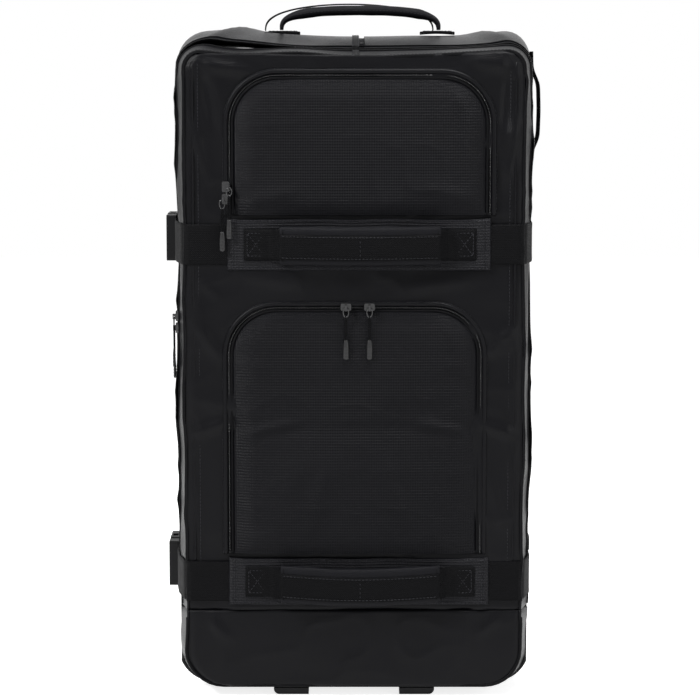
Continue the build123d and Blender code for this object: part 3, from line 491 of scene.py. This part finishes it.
def lower_shape(x, z):
    """The front below the lid: rumpled, and fuller in the middle of its height."""
    out = 4.6 * (rumple(x, z, 31, 95) - 0.3)
    out = out + 2.5 * np.sin(np.clip((z - 10) / 100, 0, 1) * math.pi)
    return add_folds(out, x, z, LOWER_FOLDS)


def build_shell():
    """The front panels, the bands round them, both sides with the top, and the back."""
    front_panel("lid_front_fabric", LID_Z, SEAM_Z, "lid", ["lid_panel"], lid_shape)
    front_panel("lower_front_fabric", BASE_Z + FRONT_RISE, LID_Z - 1, "bag", [], lower_shape)
    to_zip = steps(FRONT_Y + 0.5, SPLIT_Y - ZIP_EDGE, 4)
    to_split = steps(FRONT_Y + 0.5, SPLIT_Y - GAP, 4)
    behind = steps(SPLIT_Y + ZIP_EDGE, BACK_Y - 1, 5)
    ring_slab("lid_band_fabric", to_zip, lambda p: p[2] >= LID_Z, body="lid", replaces=["lid_band"])
    ring_slab("lower_band_fabric", to_split, lambda p: p[2] < LID_Z, body="bag",
              replaces=["lower_front_panel"])
    ring_slab("right_side_fabric", behind, lambda p: p[2] > TUB_Z - 3 and p[0] > 8, body="bag",
              replaces=["side_gusset_right"])
    ring_slab("left_side_fabric", behind, lambda p: p[2] > TUB_Z - 3 and p[0] <= 8, body="bag",
              replaces=["side_gusset_left", "top_gusset"])
    back_panel()


def back_panel():
    """The fabric of the back above the tub, rounded in at its side edges."""
    z = steps(TUB_Z, RIM_Z - 1, 6)
    x, zz, edge = spread(z, half_width(z, SIDE_HALF, BASE_Z, RIM_Z, BASE_CORNER, RIM_CORNER), 81, 14)
    out = (2.2 * (rumple(x, zz, 41, 140) - 0.2)) * edge - (1 - edge) ** 2 * 2.5
    front = np.stack([x[:, ::-1], (BACK_Y + out)[:, ::-1], zz], -1)
    back = front.copy()
    back[..., 1] = BACK_Y - 4
    slab("back_fabric", front, back, FABRIC, body="bag", slot="coated_fabric", replaces=["back_panel"])


# ---------------------------------------------------------------- main zip, seams and piping
def outline_path(y, keep, grow=0.0):
    """The kept part of the outline at a depth, moved outwards by grow, and its outward directions."""
    ring = section(y)
    path = ring[kept_run(ring, keep)]
    t = tangents(path)
    normal = np.stack([t[:, 2], np.zeros(len(t)), -t[:, 0]], 1)
    return path + normal * grow, normal


TOOTH_COUNT = 980
TOOTH_SECTION = ((-0.7, -0.3), (0.7, -0.3), (0.7, 0.8), (-0.7, 0.8))     # (across the zip, outwards)
BOX_FACES = ((0, 1, 2, 3), (7, 6, 5, 4), (0, 4, 5, 1), (1, 5, 6, 2), (2, 6, 7, 3), (3, 7, 4, 0))


def build_main_zip():
    """Each half of the zip: a tape with a raised guard, and the teeth between them on the body."""
    tape = [(-3.4, -1.2), (3.4, -1.2), (3.4, 0.4), (1.4, 1.1), (-3.4, 0.5)]
    for name, y, keep, body, node, side in (
        ("lid_zip_half", SPLIT_Y - 3.6, lambda p: p[2] >= LID_Z, "lid", "lid_zip_tape", 1),
        ("body_zip_half", SPLIT_Y + 3.6, lambda p: p[2] > LID_Z + 2, "bag", "body_zip_tape", -1),
    ):
        path, normal = outline_path(y, keep)
        profile = [(a * side, b) for a, b in tape][::side]
        sweep(name, path, profile, normal, TAPE, body=body, slot="zip_tape", replaces=[node])
    path, normal = outline_path(SPLIT_Y + 0.9, lambda p: p[2] > LID_Z + 2, 0.2)
    at = np.linspace(0, len(path) - 1, TOOTH_COUNT)
    centres = np.stack([np.interp(at, range(len(path)), path[:, k]) for k in range(3)], 1)
    normals = np.stack([np.interp(at, range(len(path)), normal[:, k]) for k in range(3)], 1)
    verts, faces = [], []
    for centre, outward, t in zip(centres, normals, tangents(centres)):
        base = len(verts)
        for a in (-0.55, 0.55):
            verts += [centre + t * a + np.array([0, d, 0]) + outward * h for d, h in TOOTH_SECTION]
        faces += [tuple(base + k for k in face) for face in BOX_FACES]
    new_object("main_zip_teeth", verts, faces, ZIP_METAL, body="bag", slot="zip_tape")


def build_seams():
    """Bound seams: round the front edge, the bottom's piping, the back edge and the top's centre."""
    for name, keep, body in (
        ("lid_edge_piping", lambda p: p[2] >= LID_Z + 2, "lid"),
        ("bottom_piping", lambda p: p[2] < LID_Z - 2, "bag"),
    ):
        path, normal = outline_path(FRONT_Y + 2.0, keep, -0.6)
        sweep(name, path, circle(2.3 if body == "bag" else 1.7), normal, TAPE, body=body)
        inner = outline_path(FRONT_Y + 7.5, keep, 0.2)[0]
        stitches(name + "_stitches", [inner], (0, 0, 1), body=body, radius=0.35)
    path, normal = outline_path(BACK_Y - 3, lambda p: p[2] > TUB_Z, 0.3)
    sweep("back_edge_piping", path, circle(2.4), normal, TAPE, body="bag")
    centre_tape = [(-4.5, -0.4), (4.5, -0.4), (4.2, 0.8), (0, 1.3), (-4.2, 0.8)]
    for name, y0, y1, body in (("top_seam_front", FRONT_Y + 3, SPLIT_Y - 8, "lid"),
                               ("top_seam_rear", SPLIT_Y + 8, BACK_Y - 4, "bag")):
        line = []
        for y in steps(y0, y1, 4):
            ring = section(y)
            top = ring[ring[:, 2] > SEAM_Z - 30]
            z = top[np.argmin(np.abs(top[:, 0] - 2)), 2]
            line.append((2.0, y, z + 0.3))
        sweep(name, line, centre_tape, (0, 0, 1), TAPE, body=body)
        rows = [[(2 + dx, y, z + 1.1) for _, y, z in line] for dx in (-3.2, 3.2)]
        stitches(name + "_stitches", rows, (0, 0, 1), body=body)
    rim, normal = outline_path(SPLIT_Y + 12, lambda p: p[2] > TUB_Z, 0.5)
    sweep("gusset_seam", rim, [(-1.6, -0.5), (1.6, -0.5), (1.2, 0.8), (-1.2, 0.8)], normal, TAPE, body="bag")
    for x, name in ((-191.0, "left"), (191.0, "right")):
        line = [(x, FRONT_Y - 1.4 - 0.6 * math.sin(z / 60.0), z) for z in steps(LID_Z + 60, SEAM_Z - 12, 8)]
        stitches(f"front_seam_{name}", [line], (0, -1, 0), body="lid", radius=0.4)
        ridge = [(x * 1.035, y + 1.2, z) for x, y, z in line]
        sweep(f"front_seam_ridge_{name}", ridge, circle(1.6), (0, -1, 0), FABRIC, body="lid")
    for side in (-1, 1):
        line = []
        for y in steps(SPLIT_Y + 6, BACK_Y - 6, 6):
            ring = section(y)
            near = ring[(ring[:, 0] * side > 0)]
            line.append((near[np.argmin(np.abs(near[:, 2] - TUB_Z)), 0] + side * 0.6, y, TUB_Z + 1.0))
        sweep(f"tub_binding_{'left' if side < 0 else 'right'}", line,
              [(-5, -0.8), (5, -0.8), (4.5, 1.2), (-4.5, 1.2)], (side, 0, 0), TAPE, body="bag")


# ---------------------------------------------------------------- pockets
def arch_path(left, right, low, high, radius, grow=0.0):
    """Up the left side, round and over, and down the right side: (x, z)."""
    left, right, high, radius = left - grow, right + grow, high + grow, radius + grow
    turn = np.linspace(0, QUARTER, 14)
    points = [(left, z) for z in (low, high - radius)]
    points += [(left + radius - radius * math.cos(a), high - radius + radius * math.sin(a)) for a in turn]
    points += [(right - radius + radius * math.sin(a), high - radius + radius * math.cos(a)) for a in turn]
    points += [(right, low)]
    return resample(points, 3.0)


def build_pocket(which, dome, folds):
    """A crowned pocket of ribbed fabric inside its covered zip, with bound edges and stitching."""
    node = f"{which}_pocket"
    (left, face_y, low), (right, _, high) = node_box(node)
    rim = 30.0                # the pocket rises from flat to full over this much
    z = steps(low, high, RIB / 6)
    x, zz, rise = spread(z, half_width(z, (right - left) / 2, low - 100, high, 0.1, POCKET_CORNER), 91, rim)
    x = x + (left + right) / 2
    up = np.minimum((high - zz) + 2, rim) / rim
    down = np.minimum((zz - low) + 10, rim) / rim
    plump = 1.0
    for share in (rise, up, down):
        plump = plump * np.sin(np.clip(share, 0, 1) * QUARTER)
    depth = FRONT_Y - face_y
    out = 1.5 + (depth - 3.0) * plump + dome(x, zz) + 2.2 * (rumple(x, zz, 56, 110) - 0.4) * plump
    out = add_folds(out, x, zz, folds, plump)
    out = out + 0.42 * (0.5 + 0.5 * np.cos((zz - low) * 2 * math.pi / RIB)) ** 1.5 * np.clip(rise * 4, 0, 1)
    front = np.stack([x, FRONT_Y - out, zz], -1)
    back = np.stack([x, np.full_like(x, FRONT_Y + 0.2), zz], -1)
    skin = slab(f"{node}_fabric", front, back, RIBBED, body="lid", slot="ribbed_fabric", replaces=[node])

    def route(grow, y):
        return [(px, y, pz) for px, pz in arch_path(left, right, low, high, POCKET_CORNER, grow)]

    forward = (0, -1, 0)
    binding = [(-1.8, 0.0), (1.8, 0.0), (1.8, 2.6), (0.6, 3.6), (-1.2, 3.0)]
    sweep(f"{which}_zip_inner_binding", route(1.2, FRONT_Y), binding, forward, TAPE, body="lid",
          slot="zip_tape", replaces=[f"{which}_pocket_zip"])
    guard = [(-3.4, 0.0), (3.0, 0.0), (2.8, 2.4), (1.0, 4.6), (-1.2, 4.8), (-3.2, 3.2)]
    sweep(f"{which}_zip_outer_guard", route(9.0, FRONT_Y), guard, forward, FABRIC, body="lid",
          slot="zip_tape")
    tape = [(-2.6, 0.1), (2.6, 0.1), (2.6, 0.9), (-2.6, 0.9)]
    sweep(f"{which}_zip_tape", route(4.8, FRONT_Y), tape, forward, TAPE, body="lid", slot="zip_tape")
    stitches(f"{which}_zip_coil", [route(4.6, FRONT_Y - 1.3)], forward, mat=ZIP_METAL, body="lid",
             length=1.5, pitch=1.9, radius=1.1)
    stitches(f"{which}_zip_stitches", [route(12.6, FRONT_Y - 1.2)], forward, body="lid", radius=0.38)
    hem = [(-2.5, 0), (2.5, 0), (2.2, 1.8), (-2.2, 1.8)]
    line = [(px, FRONT_Y - 0.5, low + 1) for px in steps(left - 12, right + 12, 6)]
    sweep(f"{which}_pocket_hem", line, hem, forward, TAPE, body="lid")


def build_pockets():
    """The upper pocket is nearly flat; the lower one swells, with a dent across its upper part."""
    def upper_dome(x, z):
        return 1.0 * np.exp(-(((x - 7) / 130) ** 2) - ((z - 690) / 60) ** 2)

    def lower_dome(x, z):
        swell = 5.0 * np.exp(-((x / 105) ** 4) - ((z - 250) / 85) ** 4)
        swell = swell + 2.5 * np.exp(-((x / 120) ** 2) - ((z - 400) / 60) ** 2)
        return swell - 2.0 * np.exp(-(((z - 343) / 9) ** 2)) * (0.3 + 0.7 * (np.abs(x) / 150) ** 2)

    build_pocket("upper", upper_dome, UPPER_POCKET_FOLDS)
    build_pocket("lower", lower_dome, LOWER_POCKET_FOLDS)


# ---------------------------------------------------------------- straps and sleeves
def band(name, points, z_mid, height, thickness, body, replaces, wave=0.0):
    """Webbing on edge: follows plan points (x, y), is height wide in z, with rolled selvedges."""
    plan = resample(points, 4.0)
    t = tangents(plan)
    normal = np.stack([-t[:, 1], t[:, 0]], 1)
    zs = np.array([-1, -0.97, -0.9, -0.6, -0.3, 0, 0.3, 0.6, 0.9, 0.97, 1]) * height / 2
    lift = np.array([-SELVEDGE, 0, 0.25, 0, 0, 0, 0, 0, 0.25, 0, -SELVEDGE])
    outer, inner = [], []
    for p, n in zip(plan, normal):
        shake = wave * noise2(np.full(len(zs), p[0]), zs, 40, 61)
        outer.append([(p[0] + n[0] * (thickness + l), p[1] + n[1] * (thickness + l), z_mid + z + s)
                      for z, l, s in zip(zs, lift, shake)])
        inner.append([(p[0], p[1], z_mid + z + s) for z, s in zip(zs, shake)])
    outer, inner = np.array(outer), np.array(inner)
    return slab(name, outer.transpose(1, 0, 2), inner.transpose(1, 0, 2), WEBBING, body=body, slot="webbing",
                replaces=replaces)


def build_straps():
    """The two straps round the lid, and behind the zip their buckle ends and their sewn ends."""
    side = SIDE_HALF + SIDE_BULGE + 0.8
    socket_low_y = node_box("buckle_sockets")[0][1]
    for which, z in zip(("upper", "lower"), STRAPS):
        low, high = node_box(f"{which}_strap")
        points = [(SIDE_HALF + 1.2, SPLIT_Y - 1), (FRONT_HALF + 2.5, FRONT_Y + 7),
                  (FRONT_HALF - 4, FRONT_Y - 1.6), (-FRONT_HALF + 4, FRONT_Y - 1.6),
                  (-FRONT_HALF - 2.5, FRONT_Y + 7), (-SIDE_HALF - 1.2, SPLIT_Y),
                  (-side, SPLIT_Y + 30), (-side, socket_low_y - 3)]
        band(f"{which}_strap_webbing", points, z, high[2] - low[2], 1.5, "lid", [f"{which}_strap"], wave=0.8)
    for k, z in enumerate(STRAPS, 1):
        points = [(-side, socket_low_y + 6), (-side, BACK_Y - 40), (-SIDE_HALF - 1.0, BACK_Y - 6)]
        band(f"buckle_strap_{k}", points, z, 50, 1.6, "bag", ["buckle_straps"])
        points = [(SIDE_HALF + 1.6, 74), (side, 20), (SIDE_HALF + 2.6, SPLIT_Y + 50),
                  (SIDE_HALF + 1.2, SPLIT_Y + 1)]
        band(f"hinge_side_strap_{k}", points, z, 50, 1.6, "bag", ["hinge_side_straps"])
        sewn = [(side + 2.0, a, b) for a, b in box_cross((40, 68), (z - 20, z + 20))]
        stitches(f"hinge_strap_stitches_{k}", [sewn], (1, 0, 0), body="bag")


def box_cross(across, up):
    """A box with a cross in it, as one sewn line of (across, up) pairs."""
    order = ((0, 0), (1, 0), (1, 1), (0, 1), (0, 0), (1, 1), (1, 0), (0, 1))
    return [(across[i], up[j]) for i, j in order]


def build_sleeves():
    """A ribbed sleeve over each strap, sewn down at both ends, with its carry handle in front."""
    (left, _, _), (right, back, _) = node_box("strap_sleeves")
    for which, mid, height in (("upper", STRAPS[0], 64.0), ("lower", STRAPS[1], 60.0)):
        low, high = mid - height / 2, mid + height / 2
        xx, zz = np.meshgrid(steps(left, right, 2.5), steps(low, high, RIB / 6))
        top_wave = 1.6 * noise2(xx, xx * 0, 45, 76) * (zz - low) / height
        edge = np.minimum(np.minimum(xx - left, right - xx), np.minimum(zz - low, high - zz))
        out = 2.2 * np.clip(edge / 3.0, 0, 1) ** 0.5 + 1.0
        out = out + 1.1 * (rumple(xx, zz, 86, 60) - 0.3) + 0.3 * np.cos(zz * 2 * math.pi / RIB)
        dip = sum(np.exp(-(((xx - c) / 1.6) ** 2)) for c in (left + 9, right - 7))
        front = np.stack([xx, back - out + 0.8 * dip, zz + top_wave], -1)
        rear = np.stack([xx, np.full_like(xx, back + 1.2), zz + top_wave], -1)
        slab(f"{which}_strap_sleeve", front, rear, SLEEVE, body="lid", slot="ribbed_fabric",
             replaces=["strap_sleeves"])
        y = back - 3.6
        rows = [[(c, y, low + 2), (c, y, high - 2)] for c in (left + 7, left + 10, right - 6, right - 9)]
        rows += [[(left + 2, y, b), (right - 2, y, b)] for b in (low + 2.6, high - 2.6)]
        stitches(f"{which}_sleeve_stitches", rows, (0, -1, 0), body="lid", radius=0.42)
        (grip_left, grip_face, _), (grip_right, _, _) = node_box(f"{which}_carry_handle")
        build_carry_handle(which, mid, grip_left, grip_right, grip_face, back - 4.0)


def build_carry_handle(which, mid, left, right, front_y, sleeve_y):
    """A padded grip: a roll above, a webbing face, a lip below, and sewn ends that run from the sleeve to the
    grip.
    """
    body = f"{which}_carry_handle"
    sag = 5.0 if which == "lower" else 1.5
    start, end = left + 12, right - 12
    half_height, half_depth, sides = 24, 5.2, 28
    axis_y = front_y + 7.2
    xs = steps(start, end, 3.0)

    def droop(x):
        return -sag * math.sin(math.pi * (x - start) / (end - start))

    def thinning(x):
        """The grip is thinner over its last 22 mm at each end."""
        return 0.72 + 0.28 * min(min(x - start, end - x) / 22, 1)

    rings = []
    for x in xs:
        thin = thinning(x)
        wobble = float(noise2(x, 0.0, 26, 91)) * 0.35
        ring = []
        for k in range(sides):
            a = 2 * math.pi * k / sides
            z = half_height * math.sin(a)
            y = half_depth * math.copysign(abs(math.cos(a)) ** 0.6, math.cos(a))
            if y > 0:
                y += 1.8 * math.exp(-(((z - 19) / 6) ** 2)) + 0.9 * math.exp(-(((z + 20) / 4) ** 2))
            ring.append((x, axis_y - y * thin, mid + droop(x) + z * (0.94 + 0.06 * thin) + wobble))
        rings.append(ring)
    pad = loft(f"{which}_handle_pad", rings, GRIP, body=body, slot="padded_grip", replaces=[body])

    low_z, high_z = -17.0, 13.5
    front = np.array([[(x, axis_y - (half_depth + 0.2) * thinning(x) - 0.9
                        - 0.5 * math.cos((z - 1.75) / 15.25 * QUARTER), mid + droop(x) + z) for x in xs]
                      for z in np.linspace(low_z, high_z, 13)])
    slab(f"{which}_handle_webbing", front, front + (0, 1.6, 0), WEBBING, body=body, slot="webbing")
    y = axis_y - 7.1
    rows = [[(x, y + (0.6 if min(x - start, end - x) < 8 else 0), mid + z + droop(x)) for x in xs[1:-1]]
            for z in (low_z + 2.2, high_z - 2.2)]
    rows.append([((start + end) / 2, y, mid - sag + z) for z in (-12, 9)])
    stitches(f"{which}_handle_stitches", rows, (0, -1, 0), body=body, radius=0.45)

    for side, tip, name in ((-1, left, "left"), (1, right, "right")):
        inner_x = start + 4 if side < 0 else end - 4
        plan = resample([(tip + side * 32, sleeve_y + 0.6), (tip + side * 4, sleeve_y - 0.6),
                         (tip - side * 2, sleeve_y - 2.5), (inner_x, front_y + 3.4)], 3.0)
        sheet = np.array([[(x, y, mid + z) for x, y in plan] for z in np.linspace(-19, 19, 11)])
        if side > 0:
            sheet = sheet[:, ::-1]
        tab = slab(f"{which}_handle_end_{name}", sheet - (0, 1.2, 0), sheet + (0, 1.2, 0), WEBBING,
                   slot="webbing", replaces=["handle_patches"])
        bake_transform(tab)
        span = sorted((tip + side * 7, tip + side * 28))
        sewn = [(x, sleeve_y - 1.0, z) for x, z in box_cross(span, (mid - 14, mid + 14))]
        stitches(f"{which}_handle_box_{name}", [sewn], (0, -1, 0), body="lid", radius=0.5)


# ---------------------------------------------------------------- top and side handles
def build_top_handle():
    """A padded roll with a webbing arch behind it, and the two tabs that they are sewn to."""
    (x0, y0, z0), (x1, y1, z1) = node_box("top_handle_grip")
    cx, half, cy = (x0 + x1) / 2, (x1 - x0) / 2, (y0 + y1) / 2
    turn = np.linspace(0, math.pi, 61)
    path = resample([(cx - (half - 6) * math.copysign(abs(math.cos(a)) ** 0.8, math.cos(a)), cy,
                      z0 + (z1 - z0 - 8) * math.sin(a) ** 0.62) for a in turn], 3.0)
    rings = []
    for i, (p, tangent) in enumerate(zip(path, tangents(path))):
        s = i / (len(path) - 1)
        up = np.cross(tangent, (0, 1, 0))
        up = -up if up[2] < 0 else up
        full = min(min(s, 1 - s) / 0.16, 1)
        tall, wide = 2.4 + 4.0 * full, 6.0 + 1.2 * full
        puff = 1 + 0.05 * float(noise2(s * 200, 0.0, 14, 7))
        rings.append([p + up * tall * puff * math.sin(w) + np.array([0, 1, 0]) * wide * math.cos(w)
                      for w in np.linspace(0, 2 * math.pi, 18, endpoint=False)])
    grip = loft("top_handle_roll", rings, GRIP, body="top_handle", slot="padded_grip",
                replaces=["top_handle_grip"])
    seam = [p + np.array([0, -7.3, 0]) for p in path[10:-10]]
    stitches("top_handle_stitches", [seam], (0, -1, 0), body="top_handle", radius=0.4)

    (_, web_front, _), (_, web_back, _) = node_box("top_handle_webbing")
    plan = resample([(cx - 14 - (half + 2) * math.cos(a), z0 + (z1 - z0 + 1) * math.sin(a) ** 0.75)
                     for a in turn], 3.0)
    ys = np.linspace(web_front + 1, web_back, 7)
    outer = np.array([[(x, y, z) for x, z in plan] for y in ys])
    inner = np.array([[(x + 1.2 * (x < cx) - 1.2 * (x > cx), y, z - 1.6) for x, z in plan] for y in ys])
    slab("top_handle_arch", outer, inner, WEBBING, body="top_handle", slot="webbing",
         replaces=["top_handle_webbing"])

    (tab_left, tab_front, tab_z), (tab_right, tab_back, _) = node_box("top_handle_patches")
    tab_length, mid_y, w = 44, (tab_front + tab_back) / 2, (tab_back - tab_front) / 2
    tab = [(-w, -2.5), (w, -2.5), (w - 0.6, 1.0), (0, 1.6), (-w + 0.6, 1.0)]
    for start, name in ((tab_left, "left"), (tab_right - tab_length, "right")):
        line = [(x, mid_y, tab_z + 1.5 + 1.2 * math.sin((x - start) / tab_length * math.pi))
                for x in steps(start, start + tab_length, 4)]
        sweep(f"top_handle_tab_{name}", line, tab, (0, 0, 1), WEBBING, body="bag", slot="webbing",
              replaces=["top_handle_patches"])
        sewn = [(start + a, mid_y + b, tab_z + 3.6) for a, b in box_cross((4, 40), (-w + 3, w - 3))[:6]]
        stitches(f"top_tab_stitches_{name}", [sewn], (0, 0, 1), body="bag")


def build_side_handle():
    """A bowed strap on the right side with a soft pad on its middle."""
    (_, y0, z0), (x1, y1, z1) = node_box("side_handle")
    mid_y = (y0 + y1) / 2
    base = SIDE_HALF + SIDE_BULGE + 1.6
    smooth = resample([(base, z1 + 18), (base + 0.4, z1 - 4), (x1 - 2.6, z1 - 22), (x1 - 1.6, (z0 + z1) / 2),
                       (x1 - 2.6, z0 + 22), (base + 0.4, z0 + 4), (base, z0 - 18)], 3.0)
    for _ in range(6):
        smooth[1:-1] = (smooth[:-2] + 2 * smooth[1:-1] + smooth[2:]) / 4
    line = [(x, mid_y, z) for x, z in smooth]
    t = tangents(line)
    out = np.stack([-t[:, 2], np.zeros(len(t)), t[:, 0]], 1)
    strap = [(-19, -1.2), (19, -1.2), (19, 0.8), (10, 1.4), (-10, 1.4), (-19, 0.8)]
    sweep("side_handle_webbing", line, strap, out, WEBBING, body="side_handle", slot="webbing",
          replaces=["side_handle"])
    pad = [(x, mid_y, z) for x, z in smooth if z0 + 20 < z < z1 - 20]
    sweep("side_handle_pad", pad, circle(13, 16, 0.18), (1, 0, 0), GRIP, body="side_handle",
          slot="padded_grip")


# ---------------------------------------------------------------- zip pulls
TIP_LENGTH = 24.0
BAIL_LENGTH = 10.8


def build_pulls():
    """Each pull: a bent wire bail, a doubled cord through it and a moulded grip with ridges."""
    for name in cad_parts:
        if "_pull_" not in name:
            continue
        (x0, y0, z0), (x1, y1, z1) = node_box(name)
        centre = np.array([(x0 + x1) / 2, (y0 + y1) / 2, 0])
        on_side = name.startswith("main")
        sideways = np.array([0, 1, 0]) if on_side else np.array([1, 0, 0])
        outward = np.array([-1, 0, 0]) if on_side else np.array([0, -1, 0])
        top = z1 - 0.7
        loop = []
        for a in np.linspace(0, 2 * math.pi, 33)[:-1]:
            across, down = 3.1 * math.sin(a), BAIL_LENGTH / 2 * (1 - math.cos(a))
            across *= 1.25 - 0.35 * down / BAIL_LENGTH
            loop.append(centre + sideways * across + np.array([0, 0, top - down]))
        loop.append(loop[0])
        sweep(f"{name}_bail", loop, circle(0.75), outward, ZIP_METAL, body=name, slot="pull_rubber",
              replaces=[name])
        tip_top = z0 + TIP_LENGTH
        for side, which in ((-1, "a"), (1, "b")):
            cord = [centre + sideways * side * (0.5 + 0.7 * math.sin(s * math.pi)) + np.array([0, 0, z])
                    for s, z in zip(np.linspace(0, 1, 14), np.linspace(top - 10.2, tip_top - 1, 14))]
            sweep(f"{name}_cord_{which}", cord, circle(0.95), outward, WEBBING, body=name, slot="pull_rubber")
        rings = []
        for s in np.linspace(0, 1, 25):
            wide = 2.0 + 1.2 * math.sin(min(s * 2.2, 1) * QUARTER)
            wide *= 1 if s < 0.9 else math.sqrt(max(1 - ((s - 0.9) / 0.1) ** 2, 0.05))
            ridge = 0.22 * math.sin(s * 12 * math.pi) if 0.3 < s < 0.85 else 0
            ring = []
            for a in np.linspace(0, 2 * math.pi, 16, endpoint=False):
                c, d = math.cos(a), math.sin(a)
                across = math.copysign(abs(c) ** 0.7, c) * wide
                deep = math.copysign(abs(d) ** 0.7, d) * (wide * 0.55 + ridge)
                height = tip_top - TIP_LENGTH * s + 0.1
                ring.append(centre + sideways * across + outward * deep + np.array([0, 0, height]))
            rings.append(ring)
        loft(f"{name}_tip", rings, PULL, body=name, slot="pull_rubber")


# ---------------------------------------------------------------- hard parts kept from the CAD
def dress_cad():
    """Materials for the hard parts, whose CAD shapes are kept."""
    looks = {
        MOULDED: ["base_tub", "wheel_housings", "front_feet", "rub_rails", "tube_foot_bracket",
                  "handle_bezel", "pull_grip", "buckle_sockets", "upper_buckle_clip", "lower_buckle_clip"],
        SATIN: ["hub_left", "hub_right", "release_button"],
        RUBBER: ["tyre_left", "tyre_right"],
        METAL: ["outer_tubes", "middle_tubes", "inner_tubes"],
        STEEL: ["wheel_axles", "wheel_bearings", "housing_screws"],
        LINING: ["frame_sheet", "tube_cover"],
    }
    for mat, names in looks.items():
        for name in names:
            paint(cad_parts[name], mat)
    for name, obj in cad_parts.items():
        if "_slider_" in name:
            paint(obj, ZIP_METAL)


def paint(obj, mat):
    """Gives every material slot of an object the same material."""
    if not obj.data.materials:
        obj.data.materials.append(mat)
    for k in range(len(obj.data.materials)):
        obj.data.materials[k] = mat


# ---------------------------------------------------------------- stage, light and camera
def plain(name, colour):
    """A matt material of one colour, for the stage."""
    mat = bpy.data.materials.new(name)
    mat.use_nodes = True
    shader = mat.node_tree.nodes["Principled BSDF"]
    shader.inputs["Base Color"].default_value = (*colour, 1)
    shader.inputs["Roughness"].default_value = 0.9
    return mat


FLOOR_SIZE, FLOOR_Z = 6000.0, -0.2


def build_stage():
    """A floor that looks white and still takes the bag's shadow."""
    verts = [(x * FLOOR_SIZE, y * FLOOR_SIZE, FLOOR_Z) for x, y in ((-1, -1), (1, -1), (1, 1), (-1, 1))]
    mat = plain("floor", (0.9, 0.9, 0.9))
    tree = mat.node_tree
    glow = tree.nodes.new("ShaderNodeMapRange")
    glow.inputs["To Max"].default_value = 0.8
    tree.links.new(seen_directly(tree), glow.inputs["Value"])
    shader = tree.nodes["Principled BSDF"]
    shader.inputs["Emission Color"].default_value = (1, 1, 1, 1)
    tree.links.new(glow.outputs["Result"], shader.inputs["Emission Strength"])
    new_object("floor", verts, [(0, 1, 2, 3)], mat)


def area_light(name, place, target, size, power):
    """A rectangular lamp at a place, in metres, turned to a target."""
    lamp = bpy.data.lights.new(name, "AREA")
    lamp.shape = "RECTANGLE"
    lamp.size, lamp.size_y = size
    lamp.energy = power
    obj = bpy.data.objects.new(name, lamp)
    obj.location = place
    obj.rotation_euler = (Vector(target) - Vector(place)).to_track_quat("-Z", "Y").to_euler()
    bpy.context.scene.collection.objects.link(obj)


def seen_directly(tree):
    """1 for what the camera sees, straight or in a glossy or clear surface; 0 for the light on the object."""
    path = tree.nodes.new("ShaderNodeLightPath")
    total = path.outputs["Is Camera Ray"]
    for name in ("Is Glossy Ray", "Is Transmission Ray"):
        larger = tree.nodes.new("ShaderNodeMath")
        larger.operation = "MAXIMUM"
        tree.links.new(total, larger.inputs[0])
        tree.links.new(path.outputs[name], larger.inputs[1])
        total = larger.outputs["Value"]
    return total


def build_light():
    """A world that looks white but lights the bag weakly, with a key, a fill and a top lamp."""
    world = bpy.data.worlds.new("studio")
    world.use_nodes = True
    tree = world.node_tree
    strength = tree.nodes.new("ShaderNodeMapRange")
    strength.inputs["To Min"].default_value = 0.22
    strength.inputs["To Max"].default_value = 1.0
    tree.links.new(seen_directly(tree), strength.inputs["Value"])
    tree.nodes["Background"].inputs["Color"].default_value = (1, 1, 1, 1)
    tree.links.new(strength.outputs["Result"], tree.nodes["Background"].inputs["Strength"])
    bpy.context.scene.world = world
    area_light("key", (-1.9, -1.5, 2.3), (0, 0, 0.5), (0.7, 0.7), 95)
    area_light("fill", (2.4, -1.8, 1.2), (0, 0, 0.4), (0.9, 1.8), 25)
    area_light("top", (0.5, -0.6, 2.7), (0, 0, 0.5), (1.4, 0.7), 60)


SENSOR = 36.0
# in metres: the camera from the front panel and the floor, and what the picture takes in at the front panel
CAMERA_DISTANCE, CAMERA_HEIGHT, AIM_HEIGHT = 2.75, 0.80, 0.50
VIEW_HEIGHT, VIEW_MIDDLE, VIEW_ASIDE = 0.862, 0.4395, -0.005


def build_camera():
    """The camera looks at the front from a little above, and its shift centres the bag."""
    data = bpy.data.cameras.new("camera")
    data.sensor_width = SENSOR
    target = Vector((VIEW_ASIDE, FRONT_Y * MM, AIM_HEIGHT))
    place = Vector((VIEW_ASIDE, FRONT_Y * MM - CAMERA_DISTANCE, CAMERA_HEIGHT))
    data.lens = SENSOR * (target - place).length / VIEW_HEIGHT
    data.shift_y = -(AIM_HEIGHT - VIEW_MIDDLE) / VIEW_HEIGHT
    obj = bpy.data.objects.new("camera", data)
    obj.location = place
    obj.rotation_euler = (target - place).to_track_quat("-Z", "Y").to_euler()
    bpy.context.scene.collection.objects.link(obj)
    bpy.context.scene.camera = obj


build_shell()
build_main_zip()
build_seams()
build_pockets()
build_straps()
build_sleeves()
build_top_handle()
build_side_handle()
build_pulls()
dress_cad()
build_stage()
build_light()
build_camera()
bpy.context.scene.view_settings.view_transform = "Standard"
